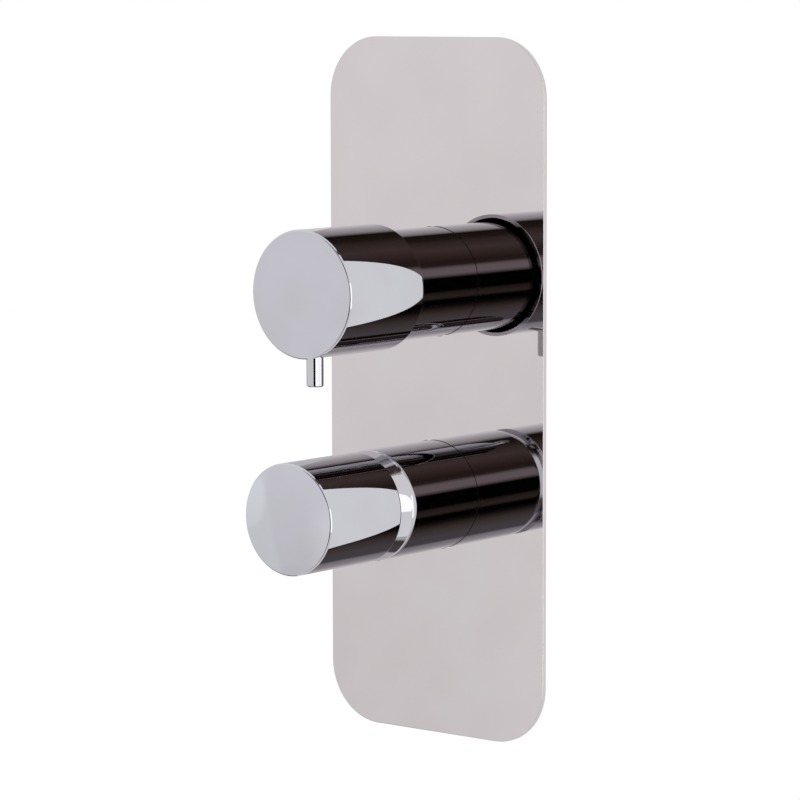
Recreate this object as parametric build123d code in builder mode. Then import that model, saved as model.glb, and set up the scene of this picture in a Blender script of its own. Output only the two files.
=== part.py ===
from build123d import *
from math import cos, radians, sin, sqrt, tan
import os

# Concealed two-way shower mixer. X points right, +Y into the wall and +Z up. The finished wall is the plane y = 0,
# and the origin lies on it midway between the two handle axes. Distances called front or back below are measured
# from the wall plane towards the user, so they are negative inside the wall.

os.makedirs("parts", exist_ok=True)

# Face plate and the foam behind it
plate_width = 120.0
plate_height = 310.0
plate_corner = 26.5
plate_thickness = 2.0
plate_edge_break = 0.3
plate_hole_clearance = 0.2
gasket_thickness = 1.0
gasket_width = 6.0
gasket_inset = 2.0
axis_spacing = 95.0

# Sleeves that pass through the plate
sleeve_diameter = 48.5
sleeve_wall = 1.5
sleeve_chamfer = 0.5
sleeve_tail = 9.0
mixer_sleeve_reach = 41.0
diverter_sleeve_reach = 45.8
sleeve_lip_depth = 2.0
sleeve_lip_clearance = 0.3

# Bushes that hold the plate on the sleeves
bush_wall = 4.5
bush_depth = 7.0
bush_ring_section = 1.8
bush_ring_width = 2.2
ring_squeeze = 0.05

# Mixer knob
knob_diameter = 55.0
knob_length = 48.6
knob_wall = 1.5
knob_front_wall = 3.0
knob_chamfer = 0.7
knob_gap = 1.4
knob_boss_diameter = 29.0
knob_boss_length = 19.0
pivot_setback = 8.0
tilt_limit = 25.0
turn_limit = 50.0

# Pin lever and grub screws
pin_diameter = 7.4
pin_reach = 12.3
pin_setback = 9.0
pin_chamfer = 0.6
pin_seat_depth = 0.6
pin_stud_length = 4.0
grub_diameter = 5.0
grub_length = 5.0
grub_key = 2.5
thread_clearance = 0.05

# Diverter knob
diverter_knob_diameter = 48.2
diverter_knob_length = 46.7
diverter_knob_crown = 0.7
diverter_knob_bore = 39.2
diverter_knob_front_wall = 3.5
diverter_waist_diameter = 45.2
diverter_waist_length = 7.7
diverter_running_gap = 0.3
diverter_spigot_diameter = 42.8
diverter_spigot_insert = 1.7
diverter_boss_diameter = 26.0
diverter_boss_length = 24.0
diverter_grub_setback = 21.5
grub_access_clearance = 0.3

# Stem extensions and the screws that hold them
extension_diameter = 15.0
shank_diameter = 12.0
shank_flat = 0.8
extension_fit = 0.05
socket_fit = 0.05
stem_cover = 12.0
extension_floor = 4.6
boss_seat = 1.0
screw_diameter = 4.0
screw_length = 16.0
screw_head_diameter = 7.0
screw_head_height = 4.0
screw_key = 3.0
screw_head_clearance = 0.1

# Ceramic cartridges, common sizes
cartridge_diameter = 35.0
cartridge_fit = 0.15
base_thickness = 7.0
base_shoulder = 4.0
disc_thickness = 4.0
cavity_diameter = 28.0
disc_clearance = 0.2
shoulder_wall = 1.7
axial_play = 0.3
port_radius = 2.8
seal_wall = 1.0
seal_fit = 0.1
seal_thickness = 1.2
spigot_radius = 1.8
spigot_length = 3.0
spigot_place = (11.5, -9.0)
key_radius = 0.9
key_place = 11.8
key_height = 2.0
key_fit = 0.2

# Mixer cartridge
carrier_diameter = 23.6
carrier_fit = 0.3
carrier_front_reach = 5.5
carrier_flange_diameter = 27.2
carrier_flange_thickness = 3.0
carrier_running_gap = 0.5
lever_width = 7.0
lever_tail = 4.5
lever_stem_reach = 24.0
lever_slot_fit = 0.25
lever_neck_radius = 2.0
ball_radius = 3.0
ball_drop = 9.0
ball_fit = 0.2
lever_pin_radius = 1.5
lever_pin_fit = 0.05
driver_radius = 11.5
driver_height = 8.0
driver_cover = 2.5
driver_socket_depth = 6.5
driver_mouth = 1.0
driver_lug_width = 2.0
driver_lug_length = 8.0
driver_lug_height = 1.7
driver_lug_place = 8.0
moving_disc_radius = 11.0
mixing_pocket_radius = 7.0
mixing_pocket_depth = 2.2
mixer_port_spread = 8.0
mixer_port_rise = 4.5
mixer_outlet_drop = 7.5
housing_neck_diameter = 29.6
housing_neck_length = 5.0
stop_ring_thickness = 1.5
stop_tooth_half_angle = 8.0
stop_tooth_depth = 1.6
stop_slack = 1.0
notch_depth = 1.8

# Retaining nuts
nut_thread_diameter = 39.0
nut_thread_length = 5.0
nut_collar_diameter = 43.0
nut_collar_thickness = 2.0
nut_bore_clearance = 0.2
nut_slots = 6
nut_slot_width = 4.0
nut_slot_depth = 1.2

# Diverter cartridge
spindle_flange_thickness = 5.0
spindle_shaft_diameter = 12.0
spindle_shaft_reach = 9.7
spindle_groove_depth = 1.0
spindle_groove_width = 2.0
spline_diameter = 8.0
spline_depth = 0.45
spline_teeth = 20
spline_length = 14.0
spline_fit = 0.12
diverter_port_spread = 9.0
diverter_turn = 90.0
diverter_tower_setback = 7.4

# Brass body
body_depth = 62.0
arm_depth = 40.0
waterway_depth = 24.0
tower_clearance = 0.35
tower_root = 12.0
tower_core_diameter = 40.0
tower_chamfer = 0.8
sleeve_ring_section = 1.65
sleeve_ring_width = 2.2
sleeve_ring_places = (-4.0, 28.0)
arm_diameter = 26.4
arm_reach = 50.0
arm_hex = 29.0
arm_hex_length = 12.0
port_thread_radius = 9.32
port_thread_length = 15.0
passage_radius = 5.0
passage_start = 3.5
riser_radius = 3.0
waterway_radius = 4.0
waterway_boss_radius = 10.0
waterway_boss_top = 27.0
waterway_overrun = 2.0
web_thickness = 9.0

# Plug that closes the drilled waterway
plug_thread_radius = 6.5
plug_thread_length = 8.0
plug_hex = 18.0
plug_head_height = 5.0
plug_washer_thickness = 1.5
plug_washer_radius = 9.0

# Steel bracket that carries the body in the wall
bracket_width = 84.0
bracket_height = 170.0
bracket_corner = 8.0
bracket_thickness = 3.0
fixing_hole_diameter = 6.5
fixing_spacing_x = 68.0
fixing_spacing_z = 150.0
bracket_screw_diameter = 5.0
bracket_screw_length = 12.0
bracket_screw_head = 10.0
bracket_screw_key = 3.0
bracket_screw_clearance = 0.3

# Places that follow from the sizes above
mixer_axis = axis_spacing / 2
diverter_axis = -axis_spacing / 2
plate_back = gasket_thickness
plate_front = plate_back + plate_thickness
sleeve_radius = sleeve_diameter / 2
sleeve_bore = sleeve_radius - sleeve_wall
tower_radius = sleeve_bore - tower_clearance
cartridge_radius = cartridge_diameter / 2
cavity_radius = cavity_diameter / 2
disc_radius = cavity_radius - disc_clearance

mixer_sleeve_front = plate_front + mixer_sleeve_reach
knob_back = mixer_sleeve_front + knob_gap
knob_front = knob_back + knob_length
knob_inside = knob_front - knob_front_wall
pivot = knob_back - pivot_setback
pin_front = knob_front - pin_setback

driver_front = pivot - ball_drop + driver_cover
driver_back = driver_front - driver_height
mixer_seat = driver_back - 2 * disc_thickness - base_thickness
carrier_back = driver_front + carrier_running_gap
carrier_front = pivot + carrier_front_reach
mixer_cavity_front = carrier_back + carrier_flange_thickness + axial_play
mixer_shoulder = mixer_cavity_front + shoulder_wall
mixer_tower_front = mixer_shoulder + nut_thread_length
mixer_neck_front = mixer_shoulder + housing_neck_length
lever_end = pivot + lever_stem_reach
flow_travel = ball_drop * sin(radians(tilt_limit))

diverter_sleeve_front = plate_front + diverter_sleeve_reach
diverter_spigot_back = diverter_sleeve_front - diverter_spigot_insert
diverter_flare_back = diverter_sleeve_front + diverter_running_gap
diverter_knob_back = diverter_flare_back + diverter_waist_length
diverter_knob_front = diverter_knob_back + diverter_knob_length
diverter_knob_inside = diverter_knob_front - diverter_knob_front_wall
diverter_tower_front = diverter_sleeve_front - diverter_tower_setback
diverter_shoulder = diverter_tower_front - nut_thread_length
diverter_cavity_front = diverter_shoulder - shoulder_wall
flange_front = diverter_cavity_front - axial_play
flange_back = flange_front - spindle_flange_thickness
diverter_seat = flange_back - 2 * disc_thickness - base_thickness
diverter_neck_front = diverter_shoulder + housing_neck_length
spline_back = diverter_cavity_front + spindle_shaft_reach
spline_end = spline_back + spline_length

mixer_ports = [
    (-mixer_port_spread, mixer_port_rise),
    (mixer_port_spread, mixer_port_rise),
    (0, -mixer_outlet_drop),
]
outlet_shift = diverter_port_spread * sin(radians(diverter_turn / 2))
outlet_drop = diverter_port_spread * cos(radians(diverter_turn / 2))
diverter_ports = [
    (-outlet_shift, -outlet_drop),
    (outlet_shift, -outlet_drop),
    (0, 0),
]
axes = (mixer_axis, diverter_axis)


def facing(front, axis=0.0):
    """Sketch plane at this distance from the wall, looking at the user, with its origin on a handle axis."""
    return Plane((0, -front, axis), x_dir=(1, 0, 0), z_dir=(0, -1, 0))


def cutting(axis):
    """Sketch plane through a handle axis, with its first coordinate towards the user and its second one up."""
    return Plane((0, 0, axis), x_dir=(0, -1, 0), z_dir=(-1, 0, 0))


def turn(profile, axis, mode=Mode.ADD):
    """Turns a profile of (front, radius) points about a handle axis."""
    with BuildSketch(cutting(axis)) as section:
        with BuildLine():
            Polyline(*profile, close=True)
        make_face()
    revolve(section.sketch, axis=Axis((0, 0, axis), (0, -1, 0)), mode=mode)


def bar(radius, back, front, axis, mode=Mode.ADD, places=((0, 0),)):
    """Round bars of one radius from one distance to another, beside a handle axis."""
    with BuildSketch(facing(back, axis)) as section:
        with Locations(*places):
            Circle(radius)
    extrude(section.sketch, amount=front - back, mode=mode)


def hexagon(flats, back, front, axis, mode=Mode.ADD):
    """A hexagonal bar or socket on a handle axis, given across its flats."""
    with BuildSketch(facing(back, axis)) as section:
        RegularPolygon(radius=flats / 2, side_count=6, major_radius=False)
    extrude(section.sketch, amount=front - back, mode=mode)


def sector(inner, outer, start, end, back, front, axis, mode=Mode.ADD):
    """Part of a ring between two angles, counted anticlockwise from +X as the user sees it."""
    middle = (start + end) / 2
    points = [
        [(radius * cos(radians(angle)), radius * sin(radians(angle))) for angle in (start, middle, end)]
        for radius in (inner, outer)
    ]
    with BuildSketch(facing(back, axis)) as section:
        with BuildLine():
            ThreePointArc(*points[0])
            Line(points[0][2], points[1][2])
            ThreePointArc(*points[1])
            Line(points[1][0], points[0][0])
        make_face()
    extrude(section.sketch, amount=front - back, mode=mode)


def squeezed_ring(inner, outer, middle, axis):
    """A rubber ring about a handle axis, as square as it is when squeezed in its groove."""
    half = (outer - inner) / 2
    bar(outer, middle - half, middle + half, axis)
    bar(inner, middle - half, middle + half, axis, Mode.SUBTRACT)


def spline(radius, depth, back, front, axis, mode=Mode.ADD):
    """A splined bar or socket with pointed teeth."""
    steps = 2 * spline_teeth
    corners = []
    for step in range(steps):
        reach = radius - depth * (step % 2)
        angle = radians(360 * step / steps)
        corners.append((reach * cos(angle), reach * sin(angle)))
    with BuildSketch(facing(back, axis)) as section:
        with BuildLine():
            Polyline(*corners, close=True)
        make_face()
    extrude(section.sketch, amount=front - back, mode=mode)


def side(reach, direction, axis):
    """Sketch plane square to X on the centre of an inlet or outlet arm."""
    return Plane((direction * reach, arm_depth, axis), x_dir=(0, direction, 0), z_dir=(direction, 0, 0))


def below(radius, front, axis):
    """Sketch plane square to Z, this far below a handle axis, facing down."""
    return Plane((0, -front, axis - radius), x_dir=(1, 0, 0), z_dir=(0, 0, -1))


def save(builder, name):
    """Names a finished piece and writes it."""
    builder.part.label = name
    export_step(builder.part, f"parts/{name}.step")


# Face plate
plate_hole_radius = sleeve_radius + plate_hole_clearance
with BuildPart() as face_plate:
    with BuildSketch(facing(plate_back)):
        RectangleRounded(plate_width, plate_height, plate_corner)
        with Locations(*[(0, axis) for axis in axes]):
            Circle(plate_hole_radius, mode=Mode.SUBTRACT)
    extrude(amount=plate_thickness)
    front_face = face_plate.faces().sort_by(Axis.Y)[0]
    chamfer(front_face.outer_wire().edges(), plate_edge_break)
save(face_plate, "face_plate")

# Foam gasket round the plate's edge
gasket_corner = plate_corner - gasket_inset
with BuildPart() as plate_gasket:
    with BuildSketch(facing(0)):
        RectangleRounded(plate_width - 2 * gasket_inset, plate_height - 2 * gasket_inset, gasket_corner)
        RectangleRounded(
            plate_width - 2 * (gasket_inset + gasket_width),
            plate_height - 2 * (gasket_inset + gasket_width),
            gasket_corner - gasket_width,
            mode=Mode.SUBTRACT,
        )
    extrude(amount=gasket_thickness)
save(plate_gasket, "plate_gasket")

# Bushes behind the plate, each with a groove for its gripping ring
bush_back = plate_back - bush_depth
bush_outer = plate_hole_radius + bush_wall
groove_middle = (plate_back + bush_back) / 2
groove_radius = sleeve_radius + bush_ring_section
with BuildPart() as plate_bushes:
    for axis in axes:
        turn(
            [
                (bush_back, plate_hole_radius),
                (bush_back, bush_outer),
                (plate_back, bush_outer),
                (plate_back, plate_hole_radius),
                (groove_middle + bush_ring_width / 2, plate_hole_radius),
                (groove_middle + bush_ring_width / 2, groove_radius),
                (groove_middle - bush_ring_width / 2, groove_radius),
                (groove_middle - bush_ring_width / 2, plate_hole_radius),
            ],
            axis,
        )
save(plate_bushes, "plate_bushes")

with BuildPart() as plate_bush_rings:
    for axis in axes:
        squeezed_ring(sleeve_radius + ring_squeeze, groove_radius - ring_squeeze, groove_middle, axis)
save(plate_bush_rings, "plate_bush_rings")

# Mixer sleeve, a plain tube with a broken front edge
with BuildPart() as mixer_sleeve:
    turn(
        [
            (-sleeve_tail, sleeve_bore),
            (-sleeve_tail, sleeve_radius),
            (mixer_sleeve_front - sleeve_chamfer, sleeve_radius),
            (mixer_sleeve_front, sleeve_radius - sleeve_chamfer),
            (mixer_sleeve_front, sleeve_bore),
        ],
        mixer_axis,
    )
save(mixer_sleeve, "mixer_sleeve")

# Diverter sleeve, with a lip that closes round the knob's spigot
knob_spigot_radius = diverter_spigot_diameter / 2
lip_bore = knob_spigot_radius + sleeve_lip_clearance
lip_back = diverter_sleeve_front - sleeve_lip_depth
with BuildPart() as diverter_sleeve:
    turn(
        [
            (-sleeve_tail, sleeve_bore),
            (-sleeve_tail, sleeve_radius),
            (diverter_sleeve_front - sleeve_chamfer, sleeve_radius),
            (diverter_sleeve_front, sleeve_radius - sleeve_chamfer),
            (diverter_sleeve_front, lip_bore),
            (lip_back, lip_bore),
            (lip_back, sleeve_bore),
        ],
        diverter_axis,
    )
save(diverter_sleeve, "diverter_sleeve")

# Rings on the towers that the sleeves push over
ring_root = sleeve_bore - sleeve_ring_section
with BuildPart() as sleeve_rings:
    for axis in axes:
        for place in sleeve_ring_places:
            squeezed_ring(ring_root + ring_squeeze, sleeve_bore - ring_squeeze, place, axis)
save(sleeve_rings, "sleeve_rings")

# Brass body: two grooved towers, four arms, and a drilled waterway between the towers
core_radius = tower_core_diameter / 2
bore_radius = cartridge_radius + cartridge_fit
mouth_radius = nut_thread_diameter / 2 + thread_clearance
towers = [
    (mixer_axis, mixer_tower_front, mixer_seat, mixer_shoulder, mixer_ports, 1),
    (diverter_axis, diverter_tower_front, diverter_seat, diverter_shoulder, diverter_ports, -1),
]
boss_top = mixer_axis + waterway_boss_top
with BuildPart() as valve_body:
    for axis, front, seat, shoulder, ports, spigot_side in towers:
        profile = [(-body_depth, 0), (-body_depth, core_radius)]
        profile += [(-tower_root, core_radius), (-tower_root, tower_radius)]
        for place in sleeve_ring_places:
            profile += [
                (place - sleeve_ring_width / 2, tower_radius),
                (place - sleeve_ring_width / 2, ring_root),
                (place + sleeve_ring_width / 2, ring_root),
                (place + sleeve_ring_width / 2, tower_radius),
            ]
        profile += [(front - tower_chamfer, tower_radius), (front, tower_radius - tower_chamfer), (front, 0)]
        turn(profile, axis)
        for direction in (-1, 1):
            with BuildSketch(side(0, direction, axis)) as arm:
                Circle(arm_diameter / 2)
            extrude(arm.sketch, amount=arm_reach)
            with BuildSketch(side(arm_reach - arm_hex_length, direction, axis)) as arm_end:
                RegularPolygon(radius=arm_hex / 2, side_count=6, major_radius=False)
            extrude(arm_end.sketch, amount=arm_hex_length)
    with BuildSketch(Plane.XY.offset(diverter_axis)) as link:
        with Locations((0, waterway_depth)):
            Circle(waterway_boss_radius)
    extrude(link.sketch, amount=boss_top - diverter_axis)
    with BuildSketch(Plane.XY.offset(diverter_axis)) as web:
        with Locations((0, (waterway_depth + body_depth) / 2)):
            Rectangle(web_thickness, body_depth - waterway_depth)
    extrude(web.sketch, amount=axis_spacing)
    for axis, front, seat, shoulder, ports, spigot_side in towers:
        bar(bore_radius, seat, front, axis, Mode.SUBTRACT)
        bar(mouth_radius, shoulder, front, axis, Mode.SUBTRACT)
        bar(riser_radius, -arm_depth, seat, axis, Mode.SUBTRACT, ports[:2])
        bar(riser_radius, -waterway_depth, seat, axis, Mode.SUBTRACT, ports[2:])
        spigots = [(x * spigot_place[0], spigot_side * spigot_place[1]) for x in (-1, 1)]
        bar(spigot_radius + cartridge_fit, seat - spigot_length - axial_play, seat, axis, Mode.SUBTRACT, spigots)
        bar(
            bracket_screw_diameter / 2 + thread_clearance,
            -body_depth,
            -body_depth + bracket_screw_length - bracket_thickness + axial_play,
            axis,
            Mode.SUBTRACT,
        )
        for direction in (-1, 1):
            with BuildSketch(side(arm_reach - port_thread_length, direction, axis)) as port:
                Circle(port_thread_radius)
            extrude(port.sketch, amount=port_thread_length, mode=Mode.SUBTRACT)
            with BuildSketch(side(passage_start, direction, axis)) as passage:
                Circle(passage_radius)
            extrude(passage.sketch, amount=arm_reach - passage_start - port_thread_length, mode=Mode.SUBTRACT)
    with BuildSketch(Plane.XY.offset(diverter_axis - waterway_overrun)) as waterway:
        with Locations((0, waterway_depth)):
            Circle(waterway_radius)
    extrude(waterway.sketch, amount=boss_top - diverter_axis + waterway_overrun, mode=Mode.SUBTRACT)
    with BuildSketch(Plane.XY.offset(boss_top - plug_thread_length - axial_play)) as plug_bore:
        with Locations((0, waterway_depth)):
            Circle(plug_thread_radius + thread_clearance)
    extrude(plug_bore.sketch, amount=plug_thread_length + axial_play, mode=Mode.SUBTRACT)
save(valve_body, "valve_body")

# Washer and plug on top of the waterway
with BuildPart() as plug_washer:
    with BuildSketch(Plane.XY.offset(boss_top)):
        with Locations((0, waterway_depth)):
            Circle(plug_washer_radius)
            Circle(plug_thread_radius + thread_clearance, mode=Mode.SUBTRACT)
    extrude(amount=plug_washer_thickness)
save(plug_washer, "plug_washer")

plug_seat = boss_top + plug_washer_thickness
with BuildPart() as waterway_plug:
    with BuildSketch(Plane.XY.offset(boss_top - plug_thread_length)):
        with Locations((0, waterway_depth)):
            Circle(plug_thread_radius)
    extrude(amount=plug_thread_length + plug_washer_thickness)
    with BuildSketch(Plane.XY.offset(plug_seat)):
        with Locations((0, waterway_depth)):
            RegularPolygon(radius=plug_hex / 2, side_count=6, major_radius=False)
    extrude(amount=plug_head_height)
save(waterway_plug, "waterway_plug")

# Bracket and its countersunk screws
bracket_back = -body_depth - bracket_thickness
head_radius = bracket_screw_head / 2
head_height = head_radius - bracket_screw_diameter / 2
with BuildPart() as mounting_bracket:
    with BuildSketch(facing(bracket_back)):
        RectangleRounded(bracket_width, bracket_height, bracket_corner)
        with GridLocations(fixing_spacing_x, fixing_spacing_z, 2, 2):
            Circle(fixing_hole_diameter / 2, mode=Mode.SUBTRACT)
    extrude(amount=bracket_thickness)
    for axis in axes:
        turn(
            [
                (bracket_back, 0),
                (bracket_back, head_radius + bracket_screw_clearance),
                (bracket_back + head_height, bracket_screw_diameter / 2 + bracket_screw_clearance),
                (-body_depth, bracket_screw_diameter / 2 + bracket_screw_clearance),
                (-body_depth, 0),
            ],
            axis,
            Mode.SUBTRACT,
        )
save(mounting_bracket, "mounting_bracket")

with BuildPart() as bracket_screws:
    for axis in axes:
        turn(
            [
                (bracket_back, 0),
                (bracket_back, head_radius),
                (bracket_back + head_height, bracket_screw_diameter / 2),
                (bracket_back + bracket_screw_length, bracket_screw_diameter / 2),
                (bracket_back + bracket_screw_length, 0),
            ],
            axis,
        )
        hexagon(bracket_screw_key, bracket_back, bracket_back + head_height, axis, Mode.SUBTRACT)
save(bracket_screws, "bracket_screws")

# Cartridge bases, with ports, seal pockets on both sides, locating spigots and keys for the fixed disc
pocket_radius = port_radius + seal_wall + 2 * seal_fit
seal_outer = port_radius + seal_wall + seal_fit
seal_inner = port_radius + seal_fit
keys = [(-key_place, 0), (key_place, 0)]


def cartridge_base(seat, axis, ports, spigot_side):
    """Cuts and builds one base inside the active part."""
    top = seat + base_thickness
    spigots = [(x * spigot_place[0], spigot_side * spigot_place[1]) for x in (-1, 1)]
    bar(cartridge_radius, seat, seat + base_shoulder, axis)
    bar(disc_radius, seat + base_shoulder, top, axis)
    bar(spigot_radius, seat - spigot_length, seat, axis, places=spigots)
    bar(key_radius, top, top + key_height, axis, places=keys)
    bar(port_radius, seat, top, axis, Mode.SUBTRACT, ports)
    bar(pocket_radius, seat, seat + seal_thickness, axis, Mode.SUBTRACT, ports)
    bar(pocket_radius, top - seal_thickness, top, axis, Mode.SUBTRACT, ports)


def seals(back, axis, ports):
    """Three rubber rings, one round each port."""
    bar(seal_outer, back, back + seal_thickness, axis, places=ports)
    bar(seal_inner, back, back + seal_thickness, axis, Mode.SUBTRACT, ports)


with BuildPart() as mixer_cartridge_base:
    cartridge_base(mixer_seat, mixer_axis, mixer_ports, 1)
save(mixer_cartridge_base, "mixer_cartridge_base")

with BuildPart() as diverter_cartridge_base:
    cartridge_base(diverter_seat, diverter_axis, diverter_ports, -1)
save(diverter_cartridge_base, "diverter_cartridge_base")

with BuildPart() as mixer_base_seals:
    seals(mixer_seat, mixer_axis, mixer_ports)
save(mixer_base_seals, "mixer_base_seals")

with BuildPart() as mixer_disc_seals:
    seals(mixer_seat + base_thickness - seal_thickness, mixer_axis, mixer_ports)
save(mixer_disc_seals, "mixer_disc_seals")

with BuildPart() as diverter_base_seals:
    seals(diverter_seat, diverter_axis, diverter_ports)
save(diverter_base_seals, "diverter_base_seals")

with BuildPart() as diverter_disc_seals:
    seals(diverter_seat + base_thickness - seal_thickness, diverter_axis, diverter_ports)
save(diverter_disc_seals, "diverter_disc_seals")

# Fixed ceramic discs, notched over the keys of their bases
mixer_disc_back = mixer_seat + base_thickness
diverter_disc_back = diverter_seat + base_thickness


def fixed_disc(back, axis, ports):
    """Builds one ported disc inside the active part."""
    bar(disc_radius, back, back + disc_thickness, axis)
    bar(port_radius, back, back + disc_thickness, axis, Mode.SUBTRACT, ports)
    bar(key_radius + key_fit, back, back + disc_thickness, axis, Mode.SUBTRACT, keys)


with BuildPart() as mixer_fixed_disc:
    fixed_disc(mixer_disc_back, mixer_axis, mixer_ports)
save(mixer_fixed_disc, "mixer_fixed_disc")

with BuildPart() as diverter_fixed_disc:
    fixed_disc(diverter_disc_back, diverter_axis, diverter_ports)
save(diverter_fixed_disc, "diverter_fixed_disc")

# Moving ceramic disc of the mixer, closed at rest, when it stands half its travel above the axis
moving_back = mixer_disc_back + disc_thickness
moving_front = moving_back + disc_thickness
disc_rise = flow_travel / 2
drive_place = driver_radius - driver_lug_width
drive_pegs = [(-drive_place, disc_rise), (drive_place, disc_rise)]
with BuildPart() as mixer_moving_disc:
    bar(moving_disc_radius, moving_back, moving_front, mixer_axis, places=[(0, disc_rise)])
    bar(
        mixing_pocket_radius,
        moving_back,
        moving_back + mixing_pocket_depth,
        mixer_axis,
        Mode.SUBTRACT,
        [(0, disc_rise)],
    )
    bar(key_radius + key_fit, moving_front - key_height, moving_front, mixer_axis, Mode.SUBTRACT, drive_pegs)
save(mixer_moving_disc, "mixer_moving_disc")

# Driver on the moving disc, with the socket for the lever's ball and two lugs that slide in the carrier
with BuildPart() as mixer_disc_driver:
    bar(driver_radius, driver_back, driver_front, mixer_axis, places=[(0, disc_rise)])
    bar(key_radius, driver_back - key_height, driver_back, mixer_axis, places=drive_pegs)
    with BuildSketch(facing(driver_front, mixer_axis)) as lugs:
        with Locations((-driver_lug_place, 0), (driver_lug_place, 0)):
            Rectangle(driver_lug_width, driver_lug_length)
    extrude(lugs.sketch, amount=driver_lug_height)
    turn(
        [
            (driver_front - driver_socket_depth, 0),
            (driver_front - driver_socket_depth, ball_radius + ball_fit),
            (driver_front - driver_mouth, ball_radius + ball_fit),
            (driver_front, ball_radius + ball_fit + driver_mouth),
            (driver_front, 0),
        ],
        mixer_axis,
        Mode.SUBTRACT,
    )
save(mixer_disc_driver, "mixer_disc_driver")

# Housing of the mixer cartridge
housing_back = mixer_seat + base_shoulder
carrier_radius = carrier_diameter / 2
carrier_bore = carrier_radius + carrier_fit
housing_neck_radius = housing_neck_diameter / 2
with BuildPart() as mixer_cartridge_housing:
    turn(
        [
            (housing_back, cavity_radius),
            (housing_back, cartridge_radius),
            (mixer_shoulder, cartridge_radius),
            (mixer_shoulder, housing_neck_radius),
            (mixer_neck_front, housing_neck_radius),
            (mixer_neck_front, carrier_bore),
            (mixer_cavity_front, carrier_bore),
            (mixer_cavity_front, cavity_radius),
        ],
        mixer_axis,
    )
save(mixer_cartridge_housing, "mixer_cartridge_housing")

# Turning carrier: a flanged drum with a slot that lets the lever tilt, and a notch that limits its turn
stop_front = mixer_neck_front + stop_ring_thickness
flange_radius = carrier_flange_diameter / 2
tilt_slope = tan(radians(tilt_limit))
slot_half = (lever_width / 2 + lever_slot_fit) / cos(radians(tilt_limit))
slot_reach = carrier_front_reach + axial_play
slot_tail = pivot - carrier_back + axial_play
notch_half = turn_limit + stop_tooth_half_angle + stop_slack
with BuildPart() as mixer_carrier:
    bar(flange_radius, carrier_back, carrier_back + carrier_flange_thickness, mixer_axis)
    bar(carrier_radius, carrier_back, carrier_front, mixer_axis)
    with BuildSketch(cutting(mixer_axis)) as lever_slot:
        with BuildLine():
            Polyline(
                (pivot + slot_reach, -slot_half),
                (pivot + slot_reach, slot_half + slot_reach * tilt_slope),
                (pivot, slot_half),
                (pivot - slot_tail, slot_half),
                (pivot - slot_tail, -slot_half - slot_tail * tilt_slope),
                (pivot, -slot_half),
                close=True,
            )
        make_face()
    extrude(
        lever_slot.sketch,
        amount=lever_width / 2 + lever_slot_fit,
        both=True,
        mode=Mode.SUBTRACT,
    )
    with BuildSketch(facing(carrier_back, mixer_axis)) as lug_grooves:
        with Locations((-driver_lug_place, 0), (driver_lug_place, 0)):
            Rectangle(driver_lug_width + 2 * axial_play, carrier_flange_diameter)
    extrude(lug_grooves.sketch, amount=driver_lug_height, mode=Mode.SUBTRACT)
    sector(
        carrier_radius - notch_depth,
        carrier_radius + notch_depth,
        -90 - notch_half,
        -90 + notch_half,
        mixer_neck_front - axial_play,
        carrier_front + axial_play,
        mixer_axis,
        Mode.SUBTRACT,
    )
    with BuildSketch(Plane.YZ) as pin_hole:
        with Locations((-pivot, mixer_axis)):
            Circle(lever_pin_radius)
    extrude(pin_hole.sketch, amount=carrier_radius, both=True, mode=Mode.SUBTRACT)
save(mixer_carrier, "mixer_carrier")

# Pin on which the lever tilts
with BuildPart() as mixer_lever_pin:
    with BuildSketch(Plane.YZ):
        with Locations((-pivot, mixer_axis)):
            Circle(lever_pin_radius)
    extrude(amount=carrier_radius - carrier_fit, both=True)
save(mixer_lever_pin, "mixer_lever_pin")

# Stop ring on the housing's neck, whose tooth runs in the carrier's notch
with BuildPart() as mixer_stop_ring:
    bar(housing_neck_radius, mixer_neck_front, stop_front, mixer_axis)
    bar(carrier_bore, mixer_neck_front, stop_front, mixer_axis, Mode.SUBTRACT)
    sector(
        carrier_bore - stop_tooth_depth,
        carrier_bore + axial_play,
        -90 - stop_tooth_half_angle,
        -90 + stop_tooth_half_angle,
        mixer_neck_front,
        stop_front,
        mixer_axis,
    )
save(mixer_stop_ring, "mixer_stop_ring")

# Lever: square stem, round neck and ball, bored for its pin and tapped for the extension's screw
screw_seat = lever_end + extension_floor
screw_end = screw_seat - screw_length
with BuildPart() as mixer_lever:
    with BuildSketch(facing(pivot - lever_tail, mixer_axis)) as stem:
        Rectangle(lever_width, lever_width)
    extrude(stem.sketch, amount=lever_tail + lever_stem_reach)
    bar(lever_neck_radius, pivot - ball_drop, pivot, mixer_axis)
    with BuildSketch(cutting(mixer_axis)) as ball:
        with Locations((pivot - ball_drop, 0)):
            Circle(ball_radius)
        with Locations((pivot - ball_drop, -ball_radius)):
            Rectangle(2 * ball_radius, 2 * ball_radius, mode=Mode.SUBTRACT)
    revolve(ball.sketch, axis=Axis((0, 0, mixer_axis), (0, -1, 0)))
    bar(
        screw_diameter / 2 + thread_clearance,
        screw_end - axial_play,
        lever_end,
        mixer_axis,
        Mode.SUBTRACT,
    )
    with BuildSketch(Plane.YZ) as lever_hole:
        with Locations((-pivot, mixer_axis)):
            Circle(lever_pin_radius + lever_pin_fit)
    extrude(lever_hole.sketch, amount=lever_width, both=True, mode=Mode.SUBTRACT)
save(mixer_lever, "mixer_lever")


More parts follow.
